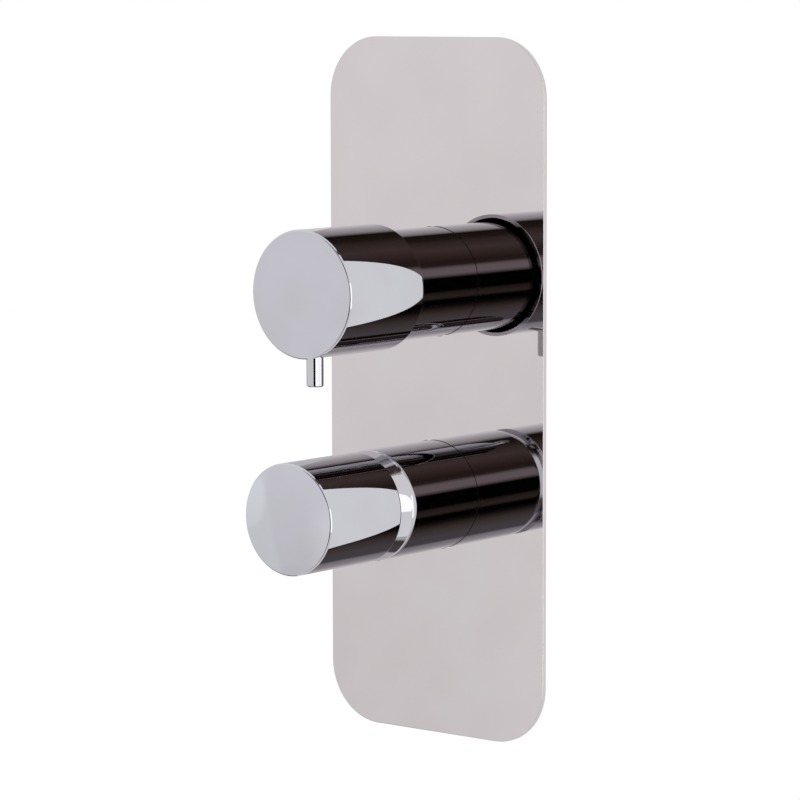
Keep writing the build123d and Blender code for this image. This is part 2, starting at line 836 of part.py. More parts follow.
def retaining_nut(shoulder, front, axis):
    """Builds one slotted gland nut inside the active part."""
    collar_front = front + nut_collar_thickness
    bar(nut_thread_diameter / 2, shoulder, front, axis)
    bar(nut_collar_diameter / 2, front, collar_front, axis)
    bar(housing_neck_radius + nut_bore_clearance, shoulder, collar_front, axis, Mode.SUBTRACT)
    with BuildSketch(facing(collar_front - nut_slot_depth, axis)) as slots:
        with PolarLocations(nut_collar_diameter / 2, nut_slots):
            Rectangle(nut_slot_width, nut_slot_width)
    extrude(slots.sketch, amount=nut_slot_depth, mode=Mode.SUBTRACT)


with BuildPart() as mixer_retaining_nut:
    retaining_nut(mixer_shoulder, mixer_tower_front, mixer_axis)
save(mixer_retaining_nut, "mixer_retaining_nut")

with BuildPart() as diverter_retaining_nut:
    retaining_nut(diverter_shoulder, diverter_tower_front, diverter_axis)
save(diverter_retaining_nut, "diverter_retaining_nut")


def cap_screw(seat, axis):
    """Builds one socket cap screw inside the active part, with its head's underside at the seat."""
    head_front = seat + screw_head_height
    bar(screw_diameter / 2, seat - screw_length, seat, axis)
    bar(screw_head_diameter / 2, seat, head_front, axis)
    hexagon(screw_key, seat + screw_head_height / 2, head_front, axis, Mode.SUBTRACT)


def shank_flat_cut(back, front, axis):
    """Planes a flat on the underside of a shank, for the grub screw."""
    shank_radius = shank_diameter / 2
    with BuildSketch(facing(back, axis)) as flat:
        with Locations((0, -shank_radius)):
            Rectangle(shank_diameter, 2 * shank_flat)
    extrude(flat.sketch, amount=front - back, mode=Mode.SUBTRACT)


# Extension that carries the mixer knob on the lever
extension_back = pivot + stem_cover
shank_back = screw_seat
mixer_shank_front = knob_inside - boss_seat
flat_reach = grub_diameter
with BuildPart() as mixer_stem_extension:
    bar(extension_diameter / 2, extension_back, shank_back, mixer_axis)
    bar(shank_diameter / 2, shank_back, mixer_shank_front, mixer_axis)
    with BuildSketch(facing(extension_back, mixer_axis)) as square_socket:
        Rectangle(lever_width + 2 * socket_fit, lever_width + 2 * socket_fit)
    extrude(square_socket.sketch, amount=lever_end - extension_back, mode=Mode.SUBTRACT)
    bar(screw_diameter / 2 + thread_clearance, lever_end, screw_seat, mixer_axis, Mode.SUBTRACT)
    bar(
        screw_head_diameter / 2 + screw_head_clearance,
        screw_seat,
        mixer_shank_front,
        mixer_axis,
        Mode.SUBTRACT,
    )
    shank_flat_cut(pin_front - flat_reach, pin_front + flat_reach, mixer_axis)
save(mixer_stem_extension, "mixer_stem_extension")

with BuildPart() as mixer_extension_screw:
    cap_screw(screw_seat, mixer_axis)
save(mixer_extension_screw, "mixer_extension_screw")

# Mixer knob: a thin turned cap with a boss inside, drilled from below for the grub screw and the pin lever
knob_radius = knob_diameter / 2
knob_bore = knob_radius - knob_wall
boss_radius = knob_boss_diameter / 2
boss_bore = shank_diameter / 2 + extension_fit
boss_back = knob_inside - knob_boss_length
pin_radius = pin_diameter / 2
grub_radius = grub_diameter / 2
pin_seat = boss_radius - pin_seat_depth
with BuildPart() as mixer_knob:
    turn(
        [
            (knob_back, knob_bore),
            (knob_back, knob_radius),
            (knob_front - knob_chamfer, knob_radius),
            (knob_front, knob_radius - knob_chamfer),
            (knob_front, 0),
            (knob_inside - boss_seat, 0),
            (knob_inside - boss_seat, boss_bore),
            (boss_back, boss_bore),
            (boss_back, boss_radius),
            (knob_inside, boss_radius),
            (knob_inside, knob_bore),
        ],
        mixer_axis,
    )
    with BuildSketch(below(pin_seat, pin_front, mixer_axis)) as pin_hole:
        Circle(pin_radius + extension_fit)
    extrude(pin_hole.sketch, amount=knob_radius, mode=Mode.SUBTRACT)
    with BuildSketch(below(0, pin_front, mixer_axis)) as grub_hole:
        Circle(grub_radius + thread_clearance)
    extrude(grub_hole.sketch, amount=boss_radius, mode=Mode.SUBTRACT)
save(mixer_knob, "mixer_knob")


def grub_screw(tip, front, axis):
    """Builds one grub screw inside the active part, with its tip this far below the axis."""
    with BuildSketch(below(tip, front, axis)) as screw:
        Circle(grub_radius)
    extrude(screw.sketch, amount=grub_length)
    with BuildSketch(below(tip + grub_length / 2, front, axis)) as key:
        RegularPolygon(radius=grub_key / 2, side_count=6, major_radius=False)
    extrude(key.sketch, amount=grub_length / 2, mode=Mode.SUBTRACT)


grub_tip = shank_diameter / 2 - shank_flat
with BuildPart() as mixer_knob_grub:
    grub_screw(grub_tip, pin_front, mixer_axis)
save(mixer_knob_grub, "mixer_knob_grub")

# Pin lever: a plain pin with a turned-down stud that screws into the boss
pin_tip = knob_radius + pin_reach
stud_end = max(pin_seat - pin_stud_length, grub_tip + grub_length + axial_play)
with BuildPart() as mixer_pin_lever:
    with BuildSketch(below(pin_seat, pin_front, mixer_axis)):
        Circle(pin_radius)
    extrude(amount=pin_tip - pin_seat)
    chamfer(mixer_pin_lever.edges().sort_by(Axis.Z)[0], pin_chamfer)
    with BuildSketch(below(stud_end, pin_front, mixer_axis)):
        Circle(grub_radius)
    extrude(amount=pin_seat - stud_end)
save(mixer_pin_lever, "mixer_pin_lever")

# Rotor disc of the diverter, with a slot that joins the inlet to one outlet
rotor_back = diverter_disc_back + disc_thickness
rotor_pegs = [(-drive_place, 0), (drive_place, 0)]
with BuildPart() as diverter_rotor_disc:
    bar(disc_radius, rotor_back, flange_back, diverter_axis)
    with BuildSketch(facing(rotor_back, diverter_axis)) as rotor_slot:
        with Locations((-outlet_shift / 2, -outlet_drop / 2)):
            SlotCenterToCenter(diverter_port_spread, 2 * port_radius, rotation=90 - diverter_turn / 2)
    extrude(rotor_slot.sketch, amount=mixing_pocket_depth, mode=Mode.SUBTRACT)
    bar(key_radius + key_fit, flange_back - key_height, flange_back, diverter_axis, Mode.SUBTRACT, rotor_pegs)
save(diverter_rotor_disc, "diverter_rotor_disc")

# Spindle: flange with a stop notch, sealed shaft, and a spline tapped for the extension's screw
shaft_radius = spindle_shaft_diameter / 2
ring_place = (diverter_cavity_front + diverter_neck_front) / 2
groove_root = shaft_radius - spindle_groove_depth
diverter_screw_seat = spline_end + extension_floor
tooth_root = cavity_radius - stop_tooth_depth
notch_start = -90 + stop_tooth_half_angle + stop_slack
notch_end = -90 - stop_tooth_half_angle - stop_slack - diverter_turn
with BuildPart() as diverter_spindle:
    turn(
        [
            (flange_back, 0),
            (flange_back, disc_radius),
            (flange_front, disc_radius),
            (flange_front, shaft_radius),
            (ring_place - spindle_groove_width / 2, shaft_radius),
            (ring_place - spindle_groove_width / 2, groove_root),
            (ring_place + spindle_groove_width / 2, groove_root),
            (ring_place + spindle_groove_width / 2, shaft_radius),
            (spline_back, shaft_radius),
            (spline_back, 0),
        ],
        diverter_axis,
    )
    bar(key_radius, flange_back - key_height, flange_back, diverter_axis, places=rotor_pegs)
    spline(spline_diameter / 2, spline_depth, spline_back, spline_end, diverter_axis)
    sector(
        tooth_root - axial_play,
        cavity_radius + axial_play,
        notch_end,
        notch_start,
        flange_back,
        flange_front,
        diverter_axis,
        Mode.SUBTRACT,
    )
    bar(
        screw_diameter / 2 + thread_clearance,
        diverter_screw_seat - screw_length - axial_play,
        spline_end,
        diverter_axis,
        Mode.SUBTRACT,
    )
save(diverter_spindle, "diverter_spindle")

shaft_bore = shaft_radius + thread_clearance
with BuildPart() as diverter_spindle_ring:
    squeezed_ring(groove_root + ring_squeeze, shaft_bore - ring_squeeze, ring_place, diverter_axis)
save(diverter_spindle_ring, "diverter_spindle_ring")

# Housing of the diverter cartridge, with the tooth that stops the spindle
diverter_housing_back = diverter_seat + base_shoulder
with BuildPart() as diverter_cartridge_housing:
    turn(
        [
            (diverter_housing_back, cavity_radius),
            (diverter_housing_back, cartridge_radius),
            (diverter_shoulder, cartridge_radius),
            (diverter_shoulder, housing_neck_radius),
            (diverter_neck_front, housing_neck_radius),
            (diverter_neck_front, shaft_bore),
            (diverter_cavity_front, shaft_bore),
            (diverter_cavity_front, cavity_radius),
        ],
        diverter_axis,
    )
    sector(
        tooth_root,
        cavity_radius + axial_play,
        -90 - stop_tooth_half_angle,
        -90 + stop_tooth_half_angle,
        flange_back + axial_play,
        diverter_cavity_front,
        diverter_axis,
    )
save(diverter_cartridge_housing, "diverter_cartridge_housing")

# Extension that carries the diverter knob on the spindle
diverter_extension_back = spline_back + boss_seat
diverter_shank_front = diverter_knob_inside - boss_seat
diverter_grub_front = diverter_knob_front - diverter_grub_setback
with BuildPart() as diverter_stem_extension:
    bar(extension_diameter / 2, diverter_extension_back, diverter_screw_seat, diverter_axis)
    bar(shank_diameter / 2, diverter_screw_seat, diverter_shank_front, diverter_axis)
    spline(
        spline_diameter / 2 + spline_fit,
        spline_depth,
        diverter_extension_back,
        spline_end,
        diverter_axis,
        Mode.SUBTRACT,
    )
    bar(screw_diameter / 2 + thread_clearance, spline_end, diverter_screw_seat, diverter_axis, Mode.SUBTRACT)
    bar(
        screw_head_diameter / 2 + screw_head_clearance,
        diverter_screw_seat,
        diverter_shank_front,
        diverter_axis,
        Mode.SUBTRACT,
    )
    shank_flat_cut(diverter_grub_front - flat_reach, diverter_grub_front + flat_reach, diverter_axis)
save(diverter_stem_extension, "diverter_stem_extension")

with BuildPart() as diverter_extension_screw:
    cap_screw(diverter_screw_seat, diverter_axis)
save(diverter_extension_screw, "diverter_extension_screw")

# Diverter knob: a turned cup with a crowned front, a waist that flares back to the knob's own size, and a spigot
# that runs into the sleeve
cup_radius = diverter_knob_diameter / 2
cup_bore = diverter_knob_bore / 2
waist_radius = diverter_waist_diameter / 2
diverter_boss_radius = diverter_boss_diameter / 2
diverter_boss_back = diverter_knob_inside - diverter_boss_length
rim_radius = cup_radius - knob_chamfer
crown_sphere = (rim_radius**2 + diverter_knob_crown**2) / (2 * diverter_knob_crown)
crown_half = rim_radius / 2
crown_half_front = diverter_knob_front + diverter_knob_crown - crown_sphere + sqrt(crown_sphere**2 - crown_half**2)
with BuildPart() as diverter_knob:
    with BuildSketch(cutting(diverter_axis)) as cup:
        with BuildLine():
            ThreePointArc(
                (diverter_knob_front + diverter_knob_crown, 0),
                (crown_half_front, crown_half),
                (diverter_knob_front, rim_radius),
            )
            Polyline(
                (diverter_knob_front, rim_radius),
                (diverter_knob_front - knob_chamfer, cup_radius),
                (diverter_knob_back, cup_radius),
                (diverter_knob_back, waist_radius),
                (diverter_flare_back, cup_radius),
                (diverter_flare_back, knob_spigot_radius),
                (diverter_spigot_back, knob_spigot_radius),
                (diverter_spigot_back, cup_bore),
                (diverter_knob_inside, cup_bore),
                (diverter_knob_inside, diverter_boss_radius),
                (diverter_boss_back, diverter_boss_radius),
                (diverter_boss_back, boss_bore),
                (diverter_knob_inside - boss_seat, boss_bore),
                (diverter_knob_inside - boss_seat, 0),
                (diverter_knob_front + diverter_knob_crown, 0),
            )
        make_face()
    revolve(cup.sketch, axis=Axis((0, 0, diverter_axis), (0, -1, 0)))
    with BuildSketch(below(0, diverter_grub_front, diverter_axis)) as grub_hole:
        Circle(grub_radius + thread_clearance)
    extrude(grub_hole.sketch, amount=diverter_boss_radius, mode=Mode.SUBTRACT)
    with BuildSketch(below(diverter_boss_radius, diverter_grub_front, diverter_axis)) as key_hole:
        Circle(grub_radius + grub_access_clearance)
    extrude(key_hole.sketch, amount=cup_radius, mode=Mode.SUBTRACT)
save(diverter_knob, "diverter_knob")

with BuildPart() as diverter_knob_grub:
    grub_screw(grub_tip, diverter_grub_front, diverter_axis)
save(diverter_knob_grub, "diverter_knob_grub")

# Sizes that the joints use
print(f"pivot at y = {-pivot:.3f}, z = {mixer_axis:.3f}")
print(f"disc travel {flow_travel:.4f} mm for {tilt_limit} degrees")
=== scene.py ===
"""Looks of a concealed two-way shower mixer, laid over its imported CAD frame.

Every CAD piece keeps its mesh and gets the finish of the real one. The script adds the screw threads
that the solids leave plain, a camera at the photograph's angle, and a plain white studio.
"""

import logging
import math
from collections.abc import Mapping, Sequence
from dataclasses import dataclass
from enum import Enum
from typing import Any

import bmesh
import bpy
from bpy.types import Material, Node, NodeSocket, NodeTree, Object
from mathutils import Matrix, Vector


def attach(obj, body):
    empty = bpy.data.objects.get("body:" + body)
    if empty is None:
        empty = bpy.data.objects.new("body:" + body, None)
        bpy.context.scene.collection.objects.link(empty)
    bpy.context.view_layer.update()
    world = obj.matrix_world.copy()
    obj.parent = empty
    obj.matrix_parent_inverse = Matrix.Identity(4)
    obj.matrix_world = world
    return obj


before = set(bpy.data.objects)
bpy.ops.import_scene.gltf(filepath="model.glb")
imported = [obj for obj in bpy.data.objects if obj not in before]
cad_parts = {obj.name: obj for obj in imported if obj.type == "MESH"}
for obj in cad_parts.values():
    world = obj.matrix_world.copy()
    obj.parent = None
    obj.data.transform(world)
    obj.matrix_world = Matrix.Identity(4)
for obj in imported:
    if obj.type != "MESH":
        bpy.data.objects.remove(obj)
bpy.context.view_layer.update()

LOG = logging.getLogger("shower_mixer")
MM = 0.001
WHITE = "#FFFFFF"

# Sockets of a mix node, which has two inputs and an output for each kind of value
FACTOR = 0
NUMBER_A, NUMBER_B, NUMBER = 2, 3, 0
VECTOR_A, VECTOR_B, VECTOR = 4, 5, 1
COLOUR_A, COLOUR_B, COLOUR = 6, 7, 2

# Inputs of a map range node. Maths nodes number their operands from 0
VALUE, FROM_LOW, FROM_HIGH, TO_LOW, TO_HIGH = range(5)

# Where something begins and ends, or its levels there
Span = tuple[float, float]
RISE: Span = (0.0, 1.0)
FALL: Span = (1.0, 0.0)

# A panel's corners from its middle, anticlockwise
SQUARE = ((-1, -1), (1, -1), (1, 1), (-1, 1))


def linear(colour: str) -> tuple[float, float, float, float]:
    """Turns an sRGB hex colour into linear RGBA.

    Args:
        colour: Six hex digits with a leading hash.

    Returns:
        Linear red, green and blue, and an alpha of 1.
    """
    parts = [int(colour[place : place + 2], 16) / 255 for place in (1, 3, 5)]
    levels = [p / 12.92 if p <= 0.04045 else ((p + 0.055) / 1.055) ** 2.4 for p in parts]
    return levels[0], levels[1], levels[2], 1.0


def per_mm(size: float) -> float:
    """Gives the texture scale whose pattern repeats at a size in millimetres."""
    return 1.0 / (size * MM)


def metres(span: Span) -> Span:
    """Turns a span in millimetres into metres."""
    return span[0] * MM, span[1] * MM


def add_node(
    tree: NodeTree, kind: str, values: Mapping[int | str, Any] | None = None, **settings: Any
) -> Node:
    """Adds one shader node.

    Args:
        tree: The node tree that takes the node.
        kind: The node's type without its ShaderNode prefix.
        values: Input values by socket name or number. An output socket is linked instead.
        settings: The node's own properties.

    Returns:
        The new node.
    """
    node = tree.nodes.new("ShaderNode" + kind)
    for name, value in settings.items():
        setattr(node, name, value)
    for socket, value in (values or {}).items():
        if isinstance(value, NodeSocket):
            tree.links.new(value, node.inputs[socket])
        else:
            node.inputs[socket].default_value = value
    return node


def product(tree: NodeTree, *factors: NodeSocket) -> NodeSocket:
    """Multiplies brightnesses or masks.

    Args:
        tree: The node tree.
        factors: Two sockets or more.

    Returns:
        Their product.
    """
    whole = factors[0]
    for factor in factors[1:]:
        whole = add_node(tree, "Math", {0: whole, 1: factor}, operation="MULTIPLY").outputs[0]
    return whole


class Slot(Enum):
    """A material slot of the record, which no piece here takes its finish from."""

    BRASS = "cast_brass"


class Body(Enum):
    """CAD bodies that new pieces ride on."""

    FIXED = "root"


@dataclass(frozen=True)
class Finish:
    """A real material and how its surface was made."""

    title: str
    colour: str
    roughness: float
    metallic: float = 0.0

    def paint(self, tree: NodeTree, shader: Node) -> None:
        """Adds the finish's own pattern; the plain finish has none.

        Args:
            tree: The material's node tree.
            shader: Its Principled shader.
        """

    def material(self) -> Material:
        """Builds the finish once and gives it back each time.

        Returns:
            The Blender material named for the finish.
        """
        made = bpy.data.materials.get(self.title)
        if made:
            return made
        made = bpy.data.materials.new(self.title)
        made.use_nodes = True
        tree = made.node_tree
        shader = tree.nodes["Principled BSDF"]
        shader.inputs["Base Color"].default_value = linear(self.colour)
        shader.inputs["Roughness"].default_value = self.roughness
        shader.inputs["Metallic"].default_value = self.metallic
        self.paint(tree, shader)
        return made

    def place(self, tree: NodeTree) -> NodeSocket:
        """Gives the piece's own coordinates, in metres."""
        return add_node(tree, "TexCoord").outputs["Object"]

    def vary(self, tree: NodeTree, shader: Node, amount: NodeSocket, other: str) -> None:
        """Blends the base colour towards another one.

        Args:
            tree: The material's node tree.
            shader: Its Principled shader.
            amount: A socket from 0, the base colour, to 1, the other one.
            other: The other colour, as sRGB hex.
        """
        blend = add_node(
            tree,
            "Mix",
            {FACTOR: amount, COLOUR_A: linear(self.colour), COLOUR_B: linear(other)},
            data_type="RGBA",
        )
        tree.links.new(blend.outputs[COLOUR], shader.inputs["Base Color"])

    def rough(self, tree: NodeTree, shader: Node, amount: NodeSocket, low: float, high: float) -> None:
        """Spreads the roughness between two values.

        Args:
            tree: The material's node tree.
            shader: Its Principled shader.
            amount: A socket from 0 to 1.
            low: Roughness at 0.
            high: Roughness at 1.
        """
        spread = add_node(tree, "MapRange", {VALUE: amount, TO_LOW: low, TO_HIGH: high})
        tree.links.new(spread.outputs[0], shader.inputs["Roughness"])

    def relief(
        self, tree: NodeTree, shader: Node, height: NodeSocket, depth: float, strength: float
    ) -> None:
        """Raises a pattern from the surface.

        Args:
            tree: The material's node tree.
            shader: Its Principled shader.
            height: The pattern, from 0 to 1.
            depth: Its depth in millimetres.
            strength: Share of the relief that shows.
        """
        bump = add_node(
            tree, "Bump", {"Height": height, "Distance": depth * MM, "Strength": strength}
        )
        tree.links.new(bump.outputs[0], shader.inputs["Normal"])


@dataclass(frozen=True)
class PolishedChrome(Finish):
    """Bright nickel-chrome plating over buffed brass: a mirror, faintly wavy from the buffing wheel."""

    bloom: str = "#C4C4CA"
    bloom_size: float = 22.0
    bloom_range: Span = (0.35, 0.7)
    wave_size: float = 9.0
    wave_depth: float = 0.0006

    def paint(self, tree: NodeTree, shader: Node) -> None:
        """Clouds the colour slightly and lets the mirror waver as buffed metal does.

        Args:
            tree: The material's node tree.
            shader: Its Principled shader.
        """
        place = self.place(tree)
        cloud = add_node(
            tree,
            "TexNoise",
            {"Vector": place, "Scale": per_mm(self.bloom_size), "Detail": 2.0, "Roughness": 0.45},
        )
        low, high = self.bloom_range
        soft = add_node(
            tree, "MapRange", {VALUE: cloud.outputs["Fac"], FROM_LOW: low, FROM_HIGH: high}
        )
        self.vary(tree, shader, soft.outputs[0], self.bloom)
        wave = add_node(
            tree, "TexNoise", {"Vector": place, "Scale": per_mm(self.wave_size), "Detail": 1.0}
        )
        self.relief(tree, shader, wave.outputs["Fac"], self.wave_depth, 1.0)


@dataclass(frozen=True)
class SheetChrome(PolishedChrome):
    """The same plating on cut sheet: a mirror on its faces, satin where its edge was only brushed."""

    edge_roughness: float = 0.38
    # A face is one of the sheet's two sides if its normal has at least this share along Y
    side_share: float = 0.95

    def paint(self, tree: NodeTree, shader: Node) -> None:
        """Takes the polish off the edges.

        Args:
            tree: The material's node tree.
            shader: Its Principled shader.
        """
        super().paint(tree, shader)
        normal = add_node(tree, "TexCoord").outputs["Normal"]
        lengthwise = add_node(tree, "SeparateXYZ", {0: normal}).outputs[1]
        flat = add_node(tree, "Math", {0: lengthwise}, operation="ABSOLUTE").outputs[0]
        edge = add_node(tree, "Math", {0: flat, 1: self.side_share}, operation="LESS_THAN")
        self.rough(tree, shader, edge.outputs[0], self.roughness, self.edge_roughness)


@dataclass(frozen=True)
class EdgeRoll:
    """Rounding that the buffing wheel leaves beside an edge, where the mirror leans over.

    It runs from start to edge, both in millimetres in front of the wall, on faces whose normal has a
    share within facing along the spoke from the axis, and lean is what the normal gains along Y.
    """

    start: float
    edge: float
    lean: float
    facing: Span = (0.99, 1.01)


@dataclass(frozen=True)
class TurnedPlace:
    """Where a point of a turned piece lies and how its face stands, each as a socket.

    depth is along Y and off_axis the way from the axis, both in metres. spoke is off_axis at
    length 1, and facing and lengthwise are the normal's shares along the spoke and along Y.
    """

    depth: NodeSocket
    off_axis: NodeSocket
    spoke: NodeSocket
    normal: NodeSocket
    facing: NodeSocket
    lengthwise: NodeSocket


@dataclass(frozen=True)
class TurnedChrome(PolishedChrome):
    """The same plating on a turned piece: truly round outside; dull inside, where little of it gets,
    and darkened there with painted shade.
    """

    axis_height: float = 47.5
    # Painted shade: the near-black colour that the faces inside the piece take; their roughness is the
    # real dull plating
    inside: str = "#2B2826"
    inside_roughness: float = 0.55
    # Faces turned towards the axis or the wall by more than this share may be inside the piece
    inward_share: float = 0.5
    back_edge: float = 0.0
    back_rim: float = 1.0
    rolls: tuple[EdgeRoll, ...] = ()
    # A piece with a plain front has this rim far away, where nothing of it lies
    crown_rim: float = 1000.0
    crown_radius: float = 391.5
    # A face is a facet of the round surface if the two normals agree at least this much
    facet_share: float = 0.97

    def paint(self, tree: NodeTree, shader: Node) -> None:
        """Rounds the mirror's facets about the handle's axis, dulls the faces inside the piece and
        darkens them with painted shade.

        Args:
            tree: The material's node tree.
            shader: Its Principled shader.
        """
        super().paint(tree, shader)
        at = self.survey(tree)
        inner = self.inner(tree, at)
        bright = shader.inputs["Base Color"].links[0].from_socket
        # Painted shade: the faces inside the piece turn near-black
        blend = add_node(
            tree,
            "Mix",
            {FACTOR: inner, COLOUR_A: bright, COLOUR_B: linear(self.inside)},
            data_type="RGBA",
        )
        tree.links.new(blend.outputs[COLOUR], shader.inputs["Base Color"])
        self.rough(tree, shader, inner, self.roughness, self.inside_roughness)
        bump = shader.inputs["Normal"].links[0].from_node
        tree.links.new(self.outward(tree, at), bump.inputs["Normal"])

    def survey(self, tree: NodeTree) -> TurnedPlace:
        """Finds each point's place about its handle's axis; both axes are as far from the middle.

        Args:
            tree: The material's node tree.

        Returns:
            The place's sockets.
        """
        coordinates = add_node(tree, "TexCoord")
        normal = coordinates.outputs["Normal"]
        place = add_node(tree, "SeparateXYZ", {0: coordinates.outputs["Object"]})
        across, depth, height = place.outputs
        half = add_node(tree, "Math", {0: height}, operation="SIGN").outputs[0]
        above = add_node(
            tree, "Math", {0: half, 1: -self.axis_height * MM, 2: height}, operation="MULTIPLY_ADD"
        )
        off_axis = add_node(tree, "CombineXYZ", {0: across, 2: above.outputs[0]}).outputs[0]
        spoke = add_node(tree, "VectorMath", {0: off_axis}, operation="NORMALIZE").outputs[0]
        facing = add_node(tree, "VectorMath", {0: normal, 1: spoke}, operation="DOT_PRODUCT")
        lengthwise = add_node(tree, "SeparateXYZ", {0: normal}).outputs[1]
        return TurnedPlace(depth, off_axis, spoke, normal, facing.outputs["Value"], lengthwise)

    def outward(self, tree: NodeTree, at: TurnedPlace) -> NodeSocket:
        """Works out the normal of the real surface, without the mesh's facets.

        Args:
            tree: The material's node tree.
            at: The point's place.

        Returns:
            The normal in the world's directions.
        """
        normal = self.crowned(tree, at, self.rolled(tree, at, self.rounded(tree, at)))
        unit = add_node(tree, "VectorMath", {0: normal}, operation="NORMALIZE").outputs[0]
        world = add_node(
            tree,
            "VectorTransform",
            {0: unit},
            vector_type="NORMAL",
            convert_from="OBJECT",
            convert_to="WORLD",
        )
        return world.outputs[0]

    def rounded(self, tree: NodeTree, at: TurnedPlace) -> NodeSocket:
        """Turns a facet's normal onto the spoke, and leaves other faces' normals alone.

        Args:
            tree: The material's node tree.
            at: The point's place.

        Returns:
            The normal in the object's directions.
        """
        square = product(tree, at.lengthwise, at.lengthwise)
        rest = add_node(tree, "Math", {0: 1.0, 1: square}, operation="SUBTRACT", use_clamp=True)
        length = add_node(tree, "Math", {0: rest.outputs[0]}, operation="SQRT").outputs[0]
        sense = add_node(tree, "Math", {0: at.facing}, operation="SIGN").outputs[0]
        reach = product(tree, length, sense)
        spread = add_node(tree, "VectorMath", {0: at.spoke, "Scale": reach}, operation="SCALE")
        along = add_node(tree, "CombineXYZ", {1: at.lengthwise})
        turned = add_node(
            tree, "VectorMath", {0: spread.outputs[0], 1: along.outputs[0]}, operation="ADD"
        ).outputs[0]
        agree = add_node(tree, "VectorMath", {0: at.normal, 1: turned}, operation="DOT_PRODUCT")
        is_facet = add_node(
            tree, "Math", {0: agree.outputs["Value"], 1: self.facet_share}, operation="GREATER_THAN"
        )
        chosen = add_node(
            tree,
            "Mix",
            {FACTOR: is_facet.outputs[0], VECTOR_A: at.normal, VECTOR_B: turned},
            data_type="VECTOR",
        )
        return chosen.outputs[VECTOR]

    def rolled(self, tree: NodeTree, at: TurnedPlace, normal: NodeSocket) -> NodeSocket:
        """Leans the normal over beside the edges that the wheel has rounded.

        Args:
            tree: The material's node tree.
            at: The point's place.
            normal: The normal so far.

        Returns:
            The normal, longer than 1 where it leans.
        """
        for roll in self.rolls:
            start, edge = metres((-roll.start, -roll.edge))
            low, high = roll.facing
            lean = add_node(
                tree,
                "MapRange",
                {VALUE: at.depth, FROM_LOW: start, FROM_HIGH: edge, TO_HIGH: roll.lean},
            )
            above_low = add_node(tree, "Math", {0: at.facing, 1: low}, operation="GREATER_THAN")
            below_high = add_node(tree, "Math", {0: at.facing, 1: high}, operation="LESS_THAN")
            near = product(tree, lean.outputs[0], above_low.outputs[0], below_high.outputs[0])
            over = add_node(tree, "CombineXYZ", {1: near}).outputs[0]
            normal = add_node(tree, "VectorMath", {0: normal, 1: over}, operation="ADD").outputs[0]
        return normal

    def crowned(self, tree: NodeTree, at: TurnedPlace, normal: NodeSocket) -> NodeSocket:
        """Gives a crowned front the normal of the large sphere that it is part of.

        Args:
            tree: The material's node tree.
            at: The point's place.
            normal: The normal so far.

        Returns:
            The normal in the object's directions.
        """
        rim = -self.crown_rim * MM
        in_front = add_node(tree, "Math", {0: at.depth, 1: rim}, operation="LESS_THAN")
        tip = add_node(
            tree,
            "VectorMath",
            {0: at.off_axis, "Scale": per_mm(self.crown_radius)},
            operation="SCALE",
        )
        sphere = add_node(
            tree, "VectorMath", {0: tip.outputs[0], 1: (0.0, -1.0, 0.0)}, operation="ADD"
        )
        chosen = add_node(
            tree,
            "Mix",
            {FACTOR: in_front.outputs[0], VECTOR_A: normal, VECTOR_B: sphere.outputs[0]},
            data_type="VECTOR",
        )
        return chosen.outputs[VECTOR]

    def inner(self, tree: NodeTree, at: TurnedPlace) -> NodeSocket:
        """Finds the faces inside the piece, which are dulled and take painted shade.

        Args:
            tree: The material's node tree.
            at: The point's place.

        Returns:
            1 on faces turned to the axis, and on those turned to the wall deeper than the back edge.
        """
        share = self.inward_share
        deepest = -(self.back_edge + self.back_rim) * MM
        wall = add_node(tree, "Math", {0: at.facing, 1: -share}, operation="LESS_THAN")
        rear = add_node(tree, "Math", {0: at.lengthwise, 1: share}, operation="GREATER_THAN")
        deep = add_node(tree, "Math", {0: at.depth, 1: deepest}, operation="LESS_THAN")
        bottom = product(tree, rear.outputs[0], deep.outputs[0])
        both = add_node(tree, "Math", {0: wall.outputs[0], 1: bottom}, operation="MAXIMUM")
        return both.outputs[0]


@dataclass(frozen=True)
class CastBrass(Finish):
    """Sand-cast brass, shot-blasted: dull and grainy, with the bright turned faces of its towers."""

    dull: str = "#8A6A33"
    cloud: float = 14.0
    grain: float = 0.7
    depth: float = 0.12
    strength: float = 0.9
    turned_roughness: float = 0.24
    # The lathe has faced what lies in front of this depth behind the wall's face
    turned_to: float = 12.5
    turned_edge: float = 0.3

    def paint(self, tree: NodeTree, shader: Node) -> None:
        """Grains the cast part and keeps what a lathe has faced smooth.

        Args:
            tree: The material's node tree.
            shader: Its Principled shader.
        """
        place = self.place(tree)
        sand = add_node(
            tree,
            "TexNoise",
            {"Vector": place, "Scale": per_mm(self.grain), "Detail": 4.0, "Roughness": 0.6},
        )
        cloud = add_node(
            tree, "TexNoise", {"Vector": place, "Scale": per_mm(self.cloud), "Detail": 3.0}
        )
        depth = add_node(tree, "SeparateXYZ", {0: place}).outputs[1]
        low, high = metres((self.turned_to - self.turned_edge, self.turned_to + self.turned_edge))
        cast = add_node(
            tree,
            "MapRange",
            {VALUE: depth, FROM_LOW: low, FROM_HIGH: high},
            interpolation_type="SMOOTHSTEP",
        ).outputs[0]
        self.vary(tree, shader, product(tree, cloud.outputs["Fac"], cast), self.dull)
        self.rough(tree, shader, cast, self.turned_roughness, self.roughness)
        self.relief(tree, shader, product(tree, sand.outputs["Fac"], cast), self.depth, self.strength)


